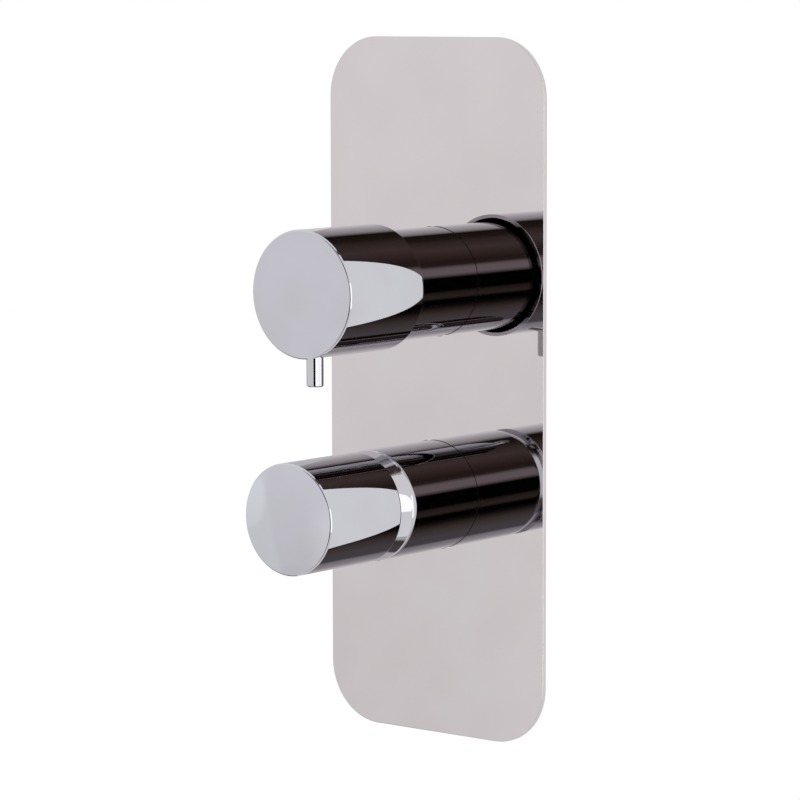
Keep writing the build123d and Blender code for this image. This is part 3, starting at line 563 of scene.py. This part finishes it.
@dataclass(frozen=True)
class TurnedBrass(Finish):
    """Free-cutting brass bar, turned: warm and bright, with fine rings left by the tool."""

    dark: str = "#A9803C"
    cloud: float = 5.0
    # Real rings are nearer 0.1 mm apart, too fine to show
    pitch: float = 0.35
    depth: float = 0.01
    strength: float = 0.5
    # A wave texture draws about this many radians of wave for each unit of its scale
    wave_radians: float = 20.0

    def paint(self, tree: NodeTree, shader: Node) -> None:
        """Draws the tool's rings along the bar.

        Args:
            tree: The material's node tree.
            shader: Its Principled shader.
        """
        place = self.place(tree)
        rings = add_node(
            tree,
            "TexWave",
            {"Vector": place, "Scale": per_mm(self.pitch) / self.wave_radians, "Distortion": 0.4},
            wave_type="BANDS",
            bands_direction="Y",
        )
        cloud = add_node(
            tree, "TexNoise", {"Vector": place, "Scale": per_mm(self.cloud), "Detail": 2.0}
        )
        self.vary(tree, shader, cloud.outputs["Fac"], self.dark)
        self.relief(tree, shader, rings.outputs["Fac"], self.depth, self.strength)


@dataclass(frozen=True)
class ZincPlate(Finish):
    """Mild steel sheet, bright zinc plated and clear passivated: cool grey with cloudy crystals."""

    dull: str = "#9FA9B4"
    crystal: float = 4.0
    haze: float = 11.0
    gloss_range: Span = (-0.08, 0.12)

    def paint(self, tree: NodeTree, shader: Node) -> None:
        """Clouds colour and gloss in patches of plating.

        Args:
            tree: The material's node tree.
            shader: Its Principled shader.
        """
        place = self.place(tree)
        cells = add_node(
            tree, "TexVoronoi", {"Vector": place, "Scale": per_mm(self.crystal)}, feature="F1"
        )
        haze = add_node(
            tree, "TexNoise", {"Vector": place, "Scale": per_mm(self.haze), "Detail": 3.0}
        ).outputs["Fac"]
        low, high = self.gloss_range
        self.vary(tree, shader, product(tree, cells.outputs["Distance"], haze), self.dull)
        self.rough(tree, shader, haze, self.roughness + low, self.roughness + high)


@dataclass(frozen=True)
class Stainless(Finish):
    """Plain stainless steel wire and bar, drawn: grey, with fine lines along its length."""

    line: float = 0.25
    depth: float = 0.004
    strength: float = 0.4
    gloss_range: Span = (-0.06, 0.08)

    def paint(self, tree: NodeTree, shader: Node) -> None:
        """Draws the lines of the drawing die.

        Args:
            tree: The material's node tree.
            shader: Its Principled shader.
        """
        lines = add_node(
            tree, "TexNoise", {"Vector": self.place(tree), "Scale": per_mm(self.line), "Detail": 2.0}
        ).outputs["Fac"]
        low, high = self.gloss_range
        self.rough(tree, shader, lines, self.roughness + low, self.roughness + high)
        self.relief(tree, shader, lines, self.depth, self.strength)


@dataclass(frozen=True)
class Alumina(Finish):
    """Sintered alumina, lapped flat: ivory white, hard and slightly glossy, with faint grey specks."""

    speck: str = "#BDB7AA"
    # Real grain is finer than the render can show
    speck_size: float = 0.6
    speck_range: Span = (0.6, 0.75)

    def paint(self, tree: NodeTree, shader: Node) -> None:
        """Specks the ceramic.

        Args:
            tree: The material's node tree.
            shader: Its Principled shader.
        """
        noise = add_node(
            tree,
            "TexNoise",
            {"Vector": self.place(tree), "Scale": per_mm(self.speck_size), "Detail": 3.0},
        )
        low, high = self.speck_range
        few = add_node(
            tree, "MapRange", {VALUE: noise.outputs["Fac"], FROM_LOW: low, FROM_HIGH: high}
        )
        self.vary(tree, shader, few.outputs[0], self.speck)


@dataclass(frozen=True)
class MouldedPlastic(Finish):
    """Injection-moulded acetal or nylon: satin, with the spark-eroded grain of the mould."""

    tint: str = "#D8D8D2"
    flow: float = 8.0
    grain: float = 0.5
    depth: float = 0.02
    strength: float = 0.5

    def paint(self, tree: NodeTree, shader: Node) -> None:
        """Gives the plastic a mould grain and slightly uneven colour.

        Args:
            tree: The material's node tree.
            shader: Its Principled shader.
        """
        place = self.place(tree)
        grain = add_node(
            tree, "TexNoise", {"Vector": place, "Scale": per_mm(self.grain), "Detail": 2.0}
        )
        flow = add_node(
            tree, "TexNoise", {"Vector": place, "Scale": per_mm(self.flow), "Detail": 2.0}
        )
        self.vary(tree, shader, flow.outputs["Fac"], self.tint)
        self.relief(tree, shader, grain.outputs["Fac"], self.depth, self.strength)


@dataclass(frozen=True)
class NitrileRubber(Finish):
    """Black nitrile rubber, moulded: matte, with a dusty grey bloom."""

    bloom: str = "#2C2C2D"
    dust: float = 1.5
    depth: float = 0.015
    strength: float = 0.5

    def paint(self, tree: NodeTree, shader: Node) -> None:
        """Dusts the rubber with bloom.

        Args:
            tree: The material's node tree.
            shader: Its Principled shader.
        """
        dust = add_node(
            tree, "TexNoise", {"Vector": self.place(tree), "Scale": per_mm(self.dust), "Detail": 4.0}
        ).outputs["Fac"]
        self.vary(tree, shader, dust, self.bloom)
        self.relief(tree, shader, dust, self.depth, self.strength)


@dataclass(frozen=True)
class CellFoam(Finish):
    """Closed-cell polyethylene foam, die cut: mid grey with small open cells on its cut faces."""

    pore: str = "#4C4C4E"
    pore_range: Span = (0.1, 0.7)
    cell: float = 0.6
    depth: float = 0.15
    strength: float = 0.8

    def paint(self, tree: NodeTree, shader: Node) -> None:
        """Pits the foam with cells.

        Args:
            tree: The material's node tree.
            shader: Its Principled shader.
        """
        cells = add_node(
            tree, "TexVoronoi", {"Vector": self.place(tree), "Scale": per_mm(self.cell)}, feature="F1"
        ).outputs["Distance"]
        low, high = self.pore_range
        deep = add_node(tree, "MapRange", {VALUE: cells, FROM_LOW: low, FROM_HIGH: high})
        self.vary(tree, shader, deep.outputs[0], self.pore)
        self.relief(tree, shader, cells, self.depth, self.strength)


@dataclass(frozen=True)
class VulcanisedFibre(Finish):
    """Red vulcanised fibre, punched: brick red and matte, with matted paper fibres."""

    fibre: str = "#7A2E22"
    mat: float = 0.8
    depth: float = 0.03
    strength: float = 0.6

    def paint(self, tree: NodeTree, shader: Node) -> None:
        """Mats the washer with fibres.

        Args:
            tree: The material's node tree.
            shader: Its Principled shader.
        """
        fibres = add_node(
            tree,
            "TexNoise",
            {"Vector": self.place(tree), "Scale": per_mm(self.mat), "Detail": 6.0, "Distortion": 2.0},
        ).outputs["Fac"]
        self.vary(tree, shader, fibres, self.fibre)
        self.relief(tree, shader, fibres, self.depth, self.strength)


# The plate is chromed sheet, warmer than the handles' chromed brass, and clouds to pink
PLATE_CHROME = SheetChrome(
    "chromed_plate",
    "#D3CECF",
    0.02,
    1.0,
    bloom="#D1CACB",
    bloom_size=38.0,
    wave_size=45.0,
    wave_depth=0.0004,
)
MIXER_SLEEVE_CHROME = TurnedChrome("chromed_mixer_sleeve", "#C5C5CA", 0.02, 1.0)
DIVERTER_SLEEVE_CHROME = TurnedChrome(
    "chromed_diverter_sleeve", "#C5C5CA", 0.02, 1.0, rolls=(EdgeRoll(46.4, 48.8, -0.2),)
)
MIXER_KNOB_CHROME = TurnedChrome(
    "chromed_mixer_knob",
    "#C8C8D0",
    0.02,
    1.0,
    back_edge=45.4,
    rolls=(EdgeRoll(45.9, 45.4, 0.2), EdgeRoll(93.7, 94.0, -0.65, (0.5, 0.9))),
)
DIVERTER_KNOB_CHROME = TurnedChrome(
    "chromed_diverter_knob",
    "#C8C8D0",
    0.02,
    1.0,
    back_edge=56.8,
    rolls=(EdgeRoll(57.3, 56.8, 0.2), EdgeRoll(103.2, 103.5, -0.65, (0.5, 0.9))),
    crown_rim=103.505,
)
PIN_CHROME = PolishedChrome("chromed_brass_pin", "#C5C5CA", 0.02, 1.0)
CAST_BRASS = CastBrass("sand_cast_brass", "#C4A35C", 0.5, 1.0)
TURNED_BRASS = TurnedBrass("turned_brass", "#D2B066", 0.25, 1.0)
ZINC_PLATE = ZincPlate("zinc_plated_steel", "#BCC1C8", 0.34, 1.0)
STAINLESS = Stainless("drawn_stainless_steel", "#B4B4B5", 0.28, 1.0)
ALUMINA = Alumina("lapped_alumina", "#EFEBE0", 0.22)
WHITE_ACETAL = MouldedPlastic("white_acetal", "#E9E9E4", 0.42)
GREY_NYLON = MouldedPlastic("grey_nylon", "#5B5E62", 0.5, tint="#4E5155")
RED_ACETAL = MouldedPlastic("red_acetal", "#B8342B", 0.42, tint="#A62B24")
RUBBER = NitrileRubber("nitrile_rubber", "#1B1B1C", 0.6)
FOAM = CellFoam("polyethylene_foam", "#6E6E70", 0.85)
FIBRE = VulcanisedFibre("vulcanised_fibre", "#99402F", 0.75)


def dress(finishes: Mapping[Finish, Sequence[str]]) -> None:
    """Gives CAD pieces their finishes.

    Args:
        finishes: For each finish, the names of the CAD nodes that have it.
    """
    for finish, names in finishes.items():
        for name in names:
            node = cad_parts[name]
            node.data.materials.clear()
            node.data.materials.append(finish.material())
            LOG.info("dressed %s in %s", name, finish.title)


def add_piece(
    name: str, mesh: bmesh.types.BMesh, finish: Finish, body: Body
) -> Object:
    """Turns a mesh into a piece of the object.

    Args:
        name: The piece's name.
        mesh: Its mesh, in metres in the shared frame. It is freed.
        finish: Its finish.
        body: The CAD body it rides on.

    Returns:
        The new object.
    """
    data = bpy.data.meshes.new(name)
    bmesh.ops.recalc_face_normals(mesh, faces=mesh.faces)
    mesh.to_mesh(data)
    mesh.free()
    data.materials.append(finish.material())
    piece = bpy.data.objects.new(name, data)
    bpy.context.scene.collection.objects.link(piece)
    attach(piece, body.value)
    LOG.info("built %s with %d faces", name, len(data.polygons))
    return piece


@dataclass
class PipeThread:
    """One female pipe thread, drawn as the ridge that stands between its grooves.

    mouth is in metres, and the sizes are in millimetres. The ridge's foot is let into the bore by
    sink and its ends keep least_height of its height. foot_half and crest_half are shares of pitch.
    """

    name: str
    mouth: Vector
    inward: Vector
    bore: float = 9.32
    length: float = 12.5
    pitch: float = 1.814
    ridge: float = 0.55
    lead_in: float = 1.6
    sides: int = 48
    sink: float = 0.02
    least_height: float = 0.05
    foot_half: float = 0.42
    crest_half: float = 0.1

    def build(self) -> Object:
        """Winds the ridge into the bore.

        Returns:
            The ridge's object.
        """
        across = Vector((0, 1, 0))
        up = self.inward.cross(across)
        turns = (self.length - self.lead_in) / self.pitch
        steps = int(turns * self.sides)
        mesh = bmesh.new()
        rows = []
        for step in range(steps + 1):
            angle = 2 * math.pi * step / self.sides
            along = self.lead_in + self.pitch * step / self.sides
            ends = min(1.0, step / self.sides, (steps - step) / self.sides)
            outward = across * math.cos(angle) + up * math.sin(angle)
            rows.append([mesh.verts.new(point) for point in self.section(outward, along, ends)])
        for before, after in zip(rows, rows[1:]):
            for corner in range(4):
                following = (corner + 1) % 4
                mesh.faces.new((before[corner], before[following], after[following], after[corner]))
        mesh.faces.new(rows[0])
        mesh.faces.new(reversed(rows[-1]))
        return add_piece(self.name, mesh, TURNED_BRASS, Body.FIXED)

    def section(self, outward: Vector, along: float, ends: float) -> list[Vector]:
        """Gives the ridge's four corners at one place of the helix.

        Args:
            outward: Unit vector from the bore's axis to its wall.
            along: Distance from the mouth in millimetres.
            ends: Share of the full ridge height, which runs out at both ends.

        Returns:
            The corners, in metres.
        """
        foot = self.bore + self.sink
        crest = self.bore - self.ridge * max(ends, self.least_height)
        corners = [
            (foot, -self.pitch * self.foot_half),
            (crest, -self.pitch * self.crest_half),
            (crest, self.pitch * self.crest_half),
            (foot, self.pitch * self.foot_half),
        ]
        return [
            self.mouth + (outward * radius + self.inward * (along + shift)) * MM
            for radius, shift in corners
        ]


@dataclass
class Trim:
    """Face plate with its gasket and bushes, and the two sleeves through it."""

    def dress(self) -> None:
        """Gives the visible trim its chrome and the hidden parts their plastic, rubber and foam."""
        dress(
            {
                PLATE_CHROME: ("face_plate",),
                MIXER_SLEEVE_CHROME: ("mixer_sleeve",),
                DIVERTER_SLEEVE_CHROME: ("diverter_sleeve",),
                FOAM: ("plate_gasket",),
                GREY_NYLON: ("plate_bushes",),
                RUBBER: ("plate_bush_rings", "sleeve_rings"),
            }
        )


@dataclass
class InWallBody:
    """Brass body with its four threaded ports, its plug, and the bracket that carries it."""

    arm_reach: float = 50.0
    arm_depth: float = 40.0
    axis_height: float = 47.5
    ports: tuple[tuple[str, int, int], ...] = (
        ("hot_inlet_thread", -1, 1),
        ("cold_inlet_thread", 1, 1),
        ("left_outlet_thread", -1, -1),
        ("right_outlet_thread", 1, -1),
    )

    def dress(self) -> None:
        """Gives the body, plug and bracket their metals."""
        dress(
            {
                CAST_BRASS: ("valve_body",),
                TURNED_BRASS: ("waterway_plug",),
                FIBRE: ("plug_washer",),
                ZINC_PLATE: ("mounting_bracket", "bracket_screws"),
            }
        )

    def build(self) -> None:
        """Cuts a pipe thread in each port."""
        for name, side, row in self.ports:
            mouth = Vector((side * self.arm_reach, self.arm_depth, row * self.axis_height)) * MM
            PipeThread(name, mouth, Vector((-side, 0, 0))).build()


@dataclass
class MixerHandle:
    """Upper knob with its pin lever, and the extension that carries it."""

    def dress(self) -> None:
        """Chromes what shows and leaves the inner parts in their own metal."""
        dress(
            {
                MIXER_KNOB_CHROME: ("mixer_knob",),
                PIN_CHROME: ("mixer_pin_lever",),
                TURNED_BRASS: ("mixer_stem_extension",),
                ZINC_PLATE: ("mixer_extension_screw",),
                STAINLESS: ("mixer_knob_grub",),
            }
        )


@dataclass
class DiverterHandle:
    """Lower knob with its flared waist, and the extension that carries it."""

    def dress(self) -> None:
        """Chromes what shows and leaves the inner parts in their own metal."""
        dress(
            {
                DIVERTER_KNOB_CHROME: ("diverter_knob",),
                TURNED_BRASS: ("diverter_stem_extension",),
                ZINC_PLATE: ("diverter_extension_screw",),
                STAINLESS: ("diverter_knob_grub",),
            }
        )


@dataclass
class MixerCartridge:
    """Ceramic mixing cartridge and its nut."""

    def dress(self) -> None:
        """Gives plastic, ceramic, rubber and brass to its parts."""
        dress(
            {
                GREY_NYLON: ("mixer_cartridge_base", "mixer_cartridge_housing"),
                RUBBER: ("mixer_base_seals", "mixer_disc_seals"),
                ALUMINA: ("mixer_fixed_disc", "mixer_moving_disc"),
                WHITE_ACETAL: ("mixer_disc_driver", "mixer_carrier"),
                RED_ACETAL: ("mixer_stop_ring",),
                STAINLESS: ("mixer_lever_pin",),
                TURNED_BRASS: ("mixer_lever", "mixer_retaining_nut"),
            }
        )


@dataclass
class DiverterCartridge:
    """Ceramic diverter cartridge and its nut."""

    def dress(self) -> None:
        """Gives plastic, ceramic, rubber and brass to its parts."""
        dress(
            {
                GREY_NYLON: ("diverter_cartridge_base", "diverter_cartridge_housing"),
                RUBBER: ("diverter_base_seals", "diverter_disc_seals", "diverter_spindle_ring"),
                ALUMINA: ("diverter_fixed_disc", "diverter_rotor_disc"),
                TURNED_BRASS: ("diverter_spindle", "diverter_retaining_nut"),
            }
        )


@dataclass
class PhotoCamera:
    """Camera at the photograph's angle, fitted to its outlines: degrees, millimetres and pixels."""

    azimuth: float = 38.966
    elevation: float = 6.4263
    roll: float = -0.1402
    distance: float = 1588.3
    across: float = -15.5
    along: float = -5.3
    plate_front: float = 3.0
    focal_px: float = 3582.24
    image_px: float = 800.0
    sensor: float = 36.0
    nearest: float = 50.0
    farthest: float = 30000.0

    def build(self) -> Object:
        """Places the camera and makes it the scene's.

        Returns:
            The camera object.
        """
        turn, tilt, roll = map(math.radians, (self.azimuth, self.elevation, self.roll))
        flat = math.cos(tilt)
        back = Vector((math.sin(turn) * flat, -math.cos(turn) * flat, math.sin(tilt)))
        level = Vector((math.cos(turn), math.sin(turn), 0))
        upright = back.cross(level)
        right = level * math.cos(roll) + upright * math.sin(roll)
        up = upright * math.cos(roll) - level * math.sin(roll)
        place = back * self.distance + right * self.across + up * self.along
        place -= Vector((0, self.plate_front, 0))
        data = bpy.data.cameras.new("photo_camera")
        data.sensor_width = self.sensor
        data.lens = self.sensor * self.focal_px / self.image_px
        data.clip_start = self.nearest * MM
        data.clip_end = self.farthest * MM
        camera = bpy.data.objects.new("photo_camera", data)
        matrix = Matrix((right, up, back)).transposed().to_4x4()
        matrix.translation = place * MM
        camera.matrix_world = matrix
        bpy.context.scene.collection.objects.link(camera)
        bpy.context.scene.camera = camera
        return camera


@dataclass
class Studio:
    """White studio: the world and its soft lamp, the finished wall, and a floor.

    The world's angles are in degrees. Azimuth turns right from the view onto the plate, off the axis
    is measured from the handles' axis, and each soft edge is given by where it begins and ends.
    """

    soft_light: float = 0.72
    # The far room, which darkens below eye level
    room_heights: Span = (-12.0, 0.0)
    room_levels: Span = (0.9, 1.02)
    # A lamp head, its stand and a glow on the far wall: azimuth and elevation, radius, half of the
    # soft edge, brightness
    spots: tuple[tuple[Span, float, float, float], ...] = (
        ((-48.0, -6.0), 3.4, 0.5, 1.09),
        ((-41.0, -16.6), 3.4, 0.5, 0.95),
        ((-30.0, -12.0), 6.0, 3.0, 1.17),
    )
    softbox: float = 1.75
    box_left: Span = (45.0, 46.5)
    box_right: Span = (132.0, 138.0)
    box_bottom: Span = (-21.0, -17.0)
    box_top: Span = (12.0, 16.0)
    # The dark rig: a ring off the axis, and narrow frames above and below it
    ring_inner: Span = (17.5, 20.5)
    ring_outer: Span = (43.9, 45.1)
    frame_heights: Span = (49.0, 52.0)
    frame_outer: Span = (59.0, 61.0)
    # The rig's shades by the angle round the handles' axis
    ring_turns: Span = (-180.0, 180.0)
    dark_ring: tuple[tuple[float, str], ...] = (
        (-180.0, "#FAF9FA"),
        (-146.0, "#FAF9FA"),
        (-128.0, "#CAC5CC"),
        (-110.0, "#AEAAB0"),
        (-103.0, "#68646A"),
        (-84.0, "#6A6466"),
        (-66.0, "#5C504C"),
        (-50.0, "#241C1A"),
        (-42.0, "#060404"),
        (-34.0, "#080606"),
        (-28.0, "#463C34"),
        (-20.0, "#3A302C"),
        (-14.0, "#050303"),
        (12.0, "#050303"),
        (16.0, "#6C6062"),
        (20.0, "#908284"),
        (31.0, "#8C8082"),
        (38.0, "#3C302D"),
        (46.0, "#382B25"),
        (74.0, "#5A4B48"),
        (94.0, "#463A36"),
        (104.0, "#30261F"),
        (120.0, "#241B15"),
        (128.0, "#B2ACAB"),
        (134.0, "#C6C2C4"),
        (148.0, "#E0DDE1"),
        (164.0, "#F8F6FA"),
        (180.0, "#FAF9FA"),
    )
    # The wall as polished pieces mirror it: shaded on the left by height, lit on the right, and with
    # the softbox's patch. Its edges are in millimetres
    wall_glow: float = 1.0
    wall_shades: Span = (0.26, 0.91)
    shade_heights: Span = (-200.0, 200.0)
    lit_side: Span = (-60.0, 60.0)
    patch_left: Span = (113.5, 115.0)
    patch_bottom: Span = (-66.0, -63.0)
    patch_top: Span = (6.0, 12.0)
    wall_paint: str = "#EDEDED"
    glow_tint: str = "#FFFFFE"
    wall_back: float = 0.6
    floor_paint: str = "#F4F4F3"
    floor_roughness: float = 0.9
    floor_level: float = -300.0
    # Sizes of the stage and its lamp in metres, and the lamp's power in watts
    stage_size: float = 6.0
    lamp_place: tuple[float, float, float] = (-0.7, -1.1, 1.2)
    lamp_size: float = 1.2
    lamp_power: float = 9.0

    def build(self) -> None:
        """Builds the world, the lamp, the wall and the floor."""
        bpy.context.scene.view_settings.view_transform = "Standard"
        self.world()
        self.lamp()
        self.wall()
        self.floor()

    def angle(self, tree: NodeTree, kind: str, values: Mapping[int, Any]) -> NodeSocket:
        """Works out one angle in degrees with a maths node.

        Args:
            tree: The world's node tree.
            kind: The maths operation, which gives radians.
            values: Its inputs.

        Returns:
            The angle's socket.
        """
        radians = add_node(tree, "Math", values, operation=kind)
        return add_node(tree, "Math", {0: radians.outputs[0]}, operation="DEGREES").outputs[0]

    def step(self, tree: NodeTree, value: NodeSocket, edge: Span, levels: Span = RISE) -> NodeSocket:
        """Gives a smooth step from one level to another.

        Args:
            tree: The node tree.
            value: What the step follows.
            edge: Where it begins and where it ends.
            levels: The levels before and after it.

        Returns:
            The step's socket.
        """
        start, end = edge
        low, high = levels
        found = add_node(
            tree,
            "MapRange",
            {VALUE: value, FROM_LOW: start, FROM_HIGH: end, TO_LOW: low, TO_HIGH: high},
            interpolation_type="SMOOTHSTEP",
        )
        return found.outputs[0]

    def by_ray(self, tree: NodeTree, plain: Node, polished: Node, camera: Node) -> NodeSocket:
        """Gives each kind of ray its own shader.

        Args:
            tree: The node tree.
            plain: What lights plain surfaces.
            polished: What polished surfaces mirror.
            camera: What the camera sees.

        Returns:
            The joined shader's socket.
        """
        rays = add_node(tree, "LightPath").outputs
        lit = add_node(
            tree, "MixShader", {0: rays["Is Glossy Ray"], 1: plain.outputs[0], 2: polished.outputs[0]}
        )
        whole = add_node(
            tree, "MixShader", {0: rays["Is Camera Ray"], 1: lit.outputs[0], 2: camera.outputs[0]}
        )
        return whole.outputs[0]

    def spot(
        self,
        tree: NodeTree,
        sight: NodeSocket,
        centre: Span,
        radius: float,
        soft: float,
        level: float,
    ) -> NodeSocket:
        """Gives one round spot of the studio its own brightness.

        Args:
            tree: The world's node tree.
            sight: The direction's azimuth and elevation in degrees, as a vector.
            centre: The spot's azimuth and elevation.
            radius: Its radius in degrees.
            soft: Half the width of its soft edge in degrees.
            level: Brightness inside it, against 1 outside.

        Returns:
            The brightness.
        """
        away = add_node(tree, "VectorMath", {0: sight, 1: (*centre, 0.0)}, operation="DISTANCE")
        return self.step(tree, away.outputs["Value"], (radius - soft, radius + soft), (level, 1.0))

    def brightness(self, tree: NodeTree, azimuth: NodeSocket, elevation: NodeSocket) -> NodeSocket:
        """Works out how bright the studio is in one direction, with its softbox and spots.

        Args:
            tree: The world's node tree.
            azimuth: The direction's azimuth in degrees.
            elevation: Its elevation in degrees.

        Returns:
            The brightness.
        """
        low, high = self.room_heights
        dim, lit = self.room_levels
        room = add_node(
            tree,
            "MapRange",
            {VALUE: elevation, FROM_LOW: low, FROM_HIGH: high, TO_LOW: dim, TO_HIGH: lit},
        )
        sight = add_node(tree, "CombineXYZ", {0: azimuth, 1: elevation}).outputs[0]
        shines = [self.spot(tree, sight, *spot) for spot in self.spots]
        box = product(
            tree,
            self.step(tree, azimuth, self.box_left),
            self.step(tree, azimuth, self.box_right, FALL),
            self.step(tree, elevation, self.box_bottom),
            self.step(tree, elevation, self.box_top, FALL),
        )
        far = product(tree, room.outputs[0], *shines)
        whole = add_node(
            tree, "Mix", {FACTOR: box, NUMBER_A: far, NUMBER_B: self.softbox}, data_type="FLOAT"
        )
        return whole.outputs[NUMBER]

    def shade(
        self, tree: NodeTree, off_axis: NodeSocket, round_axis: NodeSocket, elevation: NodeSocket
    ) -> NodeSocket:
        """Works out the colour of one direction: white, or a shade of the dark rig.

        Args:
            tree: The world's node tree.
            off_axis: The direction's angle off the handles' axis, in degrees.
            round_axis: Its angle round that axis.
            elevation: Its elevation.

        Returns:
            The colour.
        """
        ring = product(
            tree,
            self.step(tree, off_axis, self.ring_inner),
            self.step(tree, off_axis, self.ring_outer, FALL),
        )
        steep = add_node(tree, "Math", {0: elevation}, operation="ABSOLUTE").outputs[0]
        frames = product(
            tree,
            self.step(tree, steep, self.frame_heights),
            self.step(tree, off_axis, self.frame_outer, FALL),
        )
        rig = add_node(tree, "Math", {0: ring, 1: frames}, operation="MAXIMUM")
        first, last = self.ring_turns
        share = add_node(tree, "MapRange", {VALUE: round_axis, FROM_LOW: first, FROM_HIGH: last})
        shades = add_node(tree, "ValToRGB", {0: share.outputs[0]})
        ramp = shades.color_ramp
        for turn, colour in self.dark_ring[1:-1]:
            ramp.elements.new((turn - first) / (last - first)).color = linear(colour)
        ramp.elements[0].color = linear(self.dark_ring[0][1])
        ramp.elements[-1].color = linear(self.dark_ring[-1][1])
        seen = add_node(
            tree,
            "Mix",
            {FACTOR: rig.outputs[0], COLOUR_A: linear(WHITE), COLOUR_B: shades.outputs[0]},
            data_type="RGBA",
        )
        return seen.outputs[COLOUR]

    def world(self) -> None:
        """Lights plain surfaces evenly, and gives polished ones a studio to mirror."""
        world = bpy.data.worlds.new("studio")
        bpy.context.scene.world = world
        world.use_nodes = True
        tree = world.node_tree
        tree.nodes.clear()
        direction = add_node(tree, "TexCoord").outputs["Generated"]
        side, depth, height = add_node(tree, "SeparateXYZ", {0: direction}).outputs
        front = add_node(tree, "Math", {0: depth, 1: -1.0}, operation="MULTIPLY").outputs[0]
        azimuth = self.angle(tree, "ARCTAN2", {0: side, 1: front})
        elevation = self.angle(tree, "ARCSINE", {0: height})
        off_axis = self.angle(tree, "ARCCOSINE", {0: front})
        round_axis = self.angle(tree, "ARCTAN2", {0: height, 1: side})
        colour = self.shade(tree, off_axis, round_axis, elevation)
        strength = self.brightness(tree, azimuth, elevation)
        polished = add_node(tree, "Background", {"Color": colour, "Strength": strength})
        plain = add_node(tree, "Background", {"Color": linear(WHITE), "Strength": self.soft_light})
        white = add_node(tree, "Background", {"Color": linear(WHITE), "Strength": 1.0})
        add_node(tree, "OutputWorld", {"Surface": self.by_ray(tree, plain, polished, white)})

    def lamp(self) -> None:
        """Hangs one large soft lamp in front and above, which polished metal doesn't mirror."""
        data = bpy.data.lights.new("soft_lamp", "AREA")
        data.shape = "DISK"
        data.size = self.lamp_size
        data.energy = self.lamp_power
        lamp = bpy.data.objects.new("soft_lamp", data)
        lamp.location = self.lamp_place
        lamp.rotation_mode = "QUATERNION"
        lamp.rotation_quaternion = lamp.location.to_track_quat("Z", "Y")
        lamp.visible_glossy = False
        bpy.context.scene.collection.objects.link(lamp)

    def panel(self, name: str, corners: Sequence[Sequence[float]], material: Material) -> Object:
        """Builds one flat stage panel.

        Args:
            name: The panel's name.
            corners: Its four corners in metres, anticlockwise from its front.
            material: Its material.

        Returns:
            The panel.
        """
        mesh = bmesh.new()
        mesh.faces.new([mesh.verts.new(corner) for corner in corners])
        data = bpy.data.meshes.new(name)
        mesh.to_mesh(data)
        mesh.free()
        data.materials.append(material)
        made = bpy.data.objects.new(name, data)
        bpy.context.scene.collection.objects.link(made)
        return made

    def wall_mirrored(self, tree: NodeTree) -> NodeSocket:
        """Works out how bright the wall is where polished pieces mirror it.

        Args:
            tree: The wall's node tree.

        Returns:
            The brightness.
        """
        place = add_node(tree, "TexCoord").outputs["Object"]
        across, _, height = add_node(tree, "SeparateXYZ", {0: place}).outputs
        low, high = metres(self.shade_heights)
        dim, lit = self.wall_shades
        shade = add_node(
            tree,
            "MapRange",
            {VALUE: height, FROM_LOW: low, FROM_HIGH: high, TO_LOW: dim, TO_HIGH: lit},
        )
        side = self.step(tree, across, metres(self.lit_side))
        plain = add_node(
            tree,
            "Mix",
            {FACTOR: side, NUMBER_A: shade.outputs[0], NUMBER_B: self.wall_glow},
            data_type="FLOAT",
        )
        patch = product(
            tree,
            self.step(tree, across, metres(self.patch_left)),
            self.step(tree, height, metres(self.patch_bottom)),
            self.step(tree, height, metres(self.patch_top), FALL),
        )
        whole = add_node(
            tree,
            "Mix",
            {FACTOR: patch, NUMBER_A: plain.outputs[NUMBER], NUMBER_B: self.softbox},
            data_type="FLOAT",
        )
        return whole.outputs[NUMBER]

    def wall(self) -> None:
        """Stands the white wall behind the plate, one-sided, so the body shows from behind."""
        made = bpy.data.materials.new("white_wall")
        made.use_nodes = True
        tree = made.node_tree
        tree.nodes.clear()
        strength = self.wall_mirrored(tree)
        paint = add_node(tree, "BsdfDiffuse", {"Color": linear(self.wall_paint)})
        glow = add_node(tree, "Emission", {"Color": linear(self.glow_tint), "Strength": strength})
        white = add_node(tree, "Emission", {"Color": linear(WHITE), "Strength": 1.0})
        front = self.by_ray(tree, paint, glow, white)
        clear = add_node(tree, "BsdfTransparent").outputs[0]
        behind = add_node(tree, "NewGeometry").outputs["Backfacing"]
        whole = add_node(tree, "MixShader", {0: behind, 1: front, 2: clear})
        add_node(tree, "OutputMaterial", {"Surface": whole.outputs[0]})
        half, back = self.stage_size / 2, self.wall_back * MM
        corners = [(x * half, back, z * half) for x, z in SQUARE]
        self.panel("stage_wall", corners, made)

    def floor(self) -> None:
        """Lays a pale floor well below the object."""
        made = bpy.data.materials.new("pale_floor")
        made.use_nodes = True
        shader = made.node_tree.nodes["Principled BSDF"]
        shader.inputs["Base Color"].default_value = linear(self.floor_paint)
        shader.inputs["Roughness"].default_value = self.floor_roughness
        half, level = self.stage_size, self.floor_level * MM
        corners = [(x * half, y * half, level) for x, y in SQUARE]
        self.panel("stage_floor", corners, made).visible_glossy = False


def main() -> None:
    """Builds the studio and dresses every sub-assembly."""
    logging.basicConfig(level=logging.INFO, format="%(name)s: %(message)s")
    PhotoCamera().build()
    Studio().build()
    Trim().dress()
    MixerHandle().dress()
    DiverterHandle().dress()
    MixerCartridge().dress()
    DiverterCartridge().dress()
    body = InWallBody()
    body.dress()
    body.build()


if __name__ == "__main__":
    main()
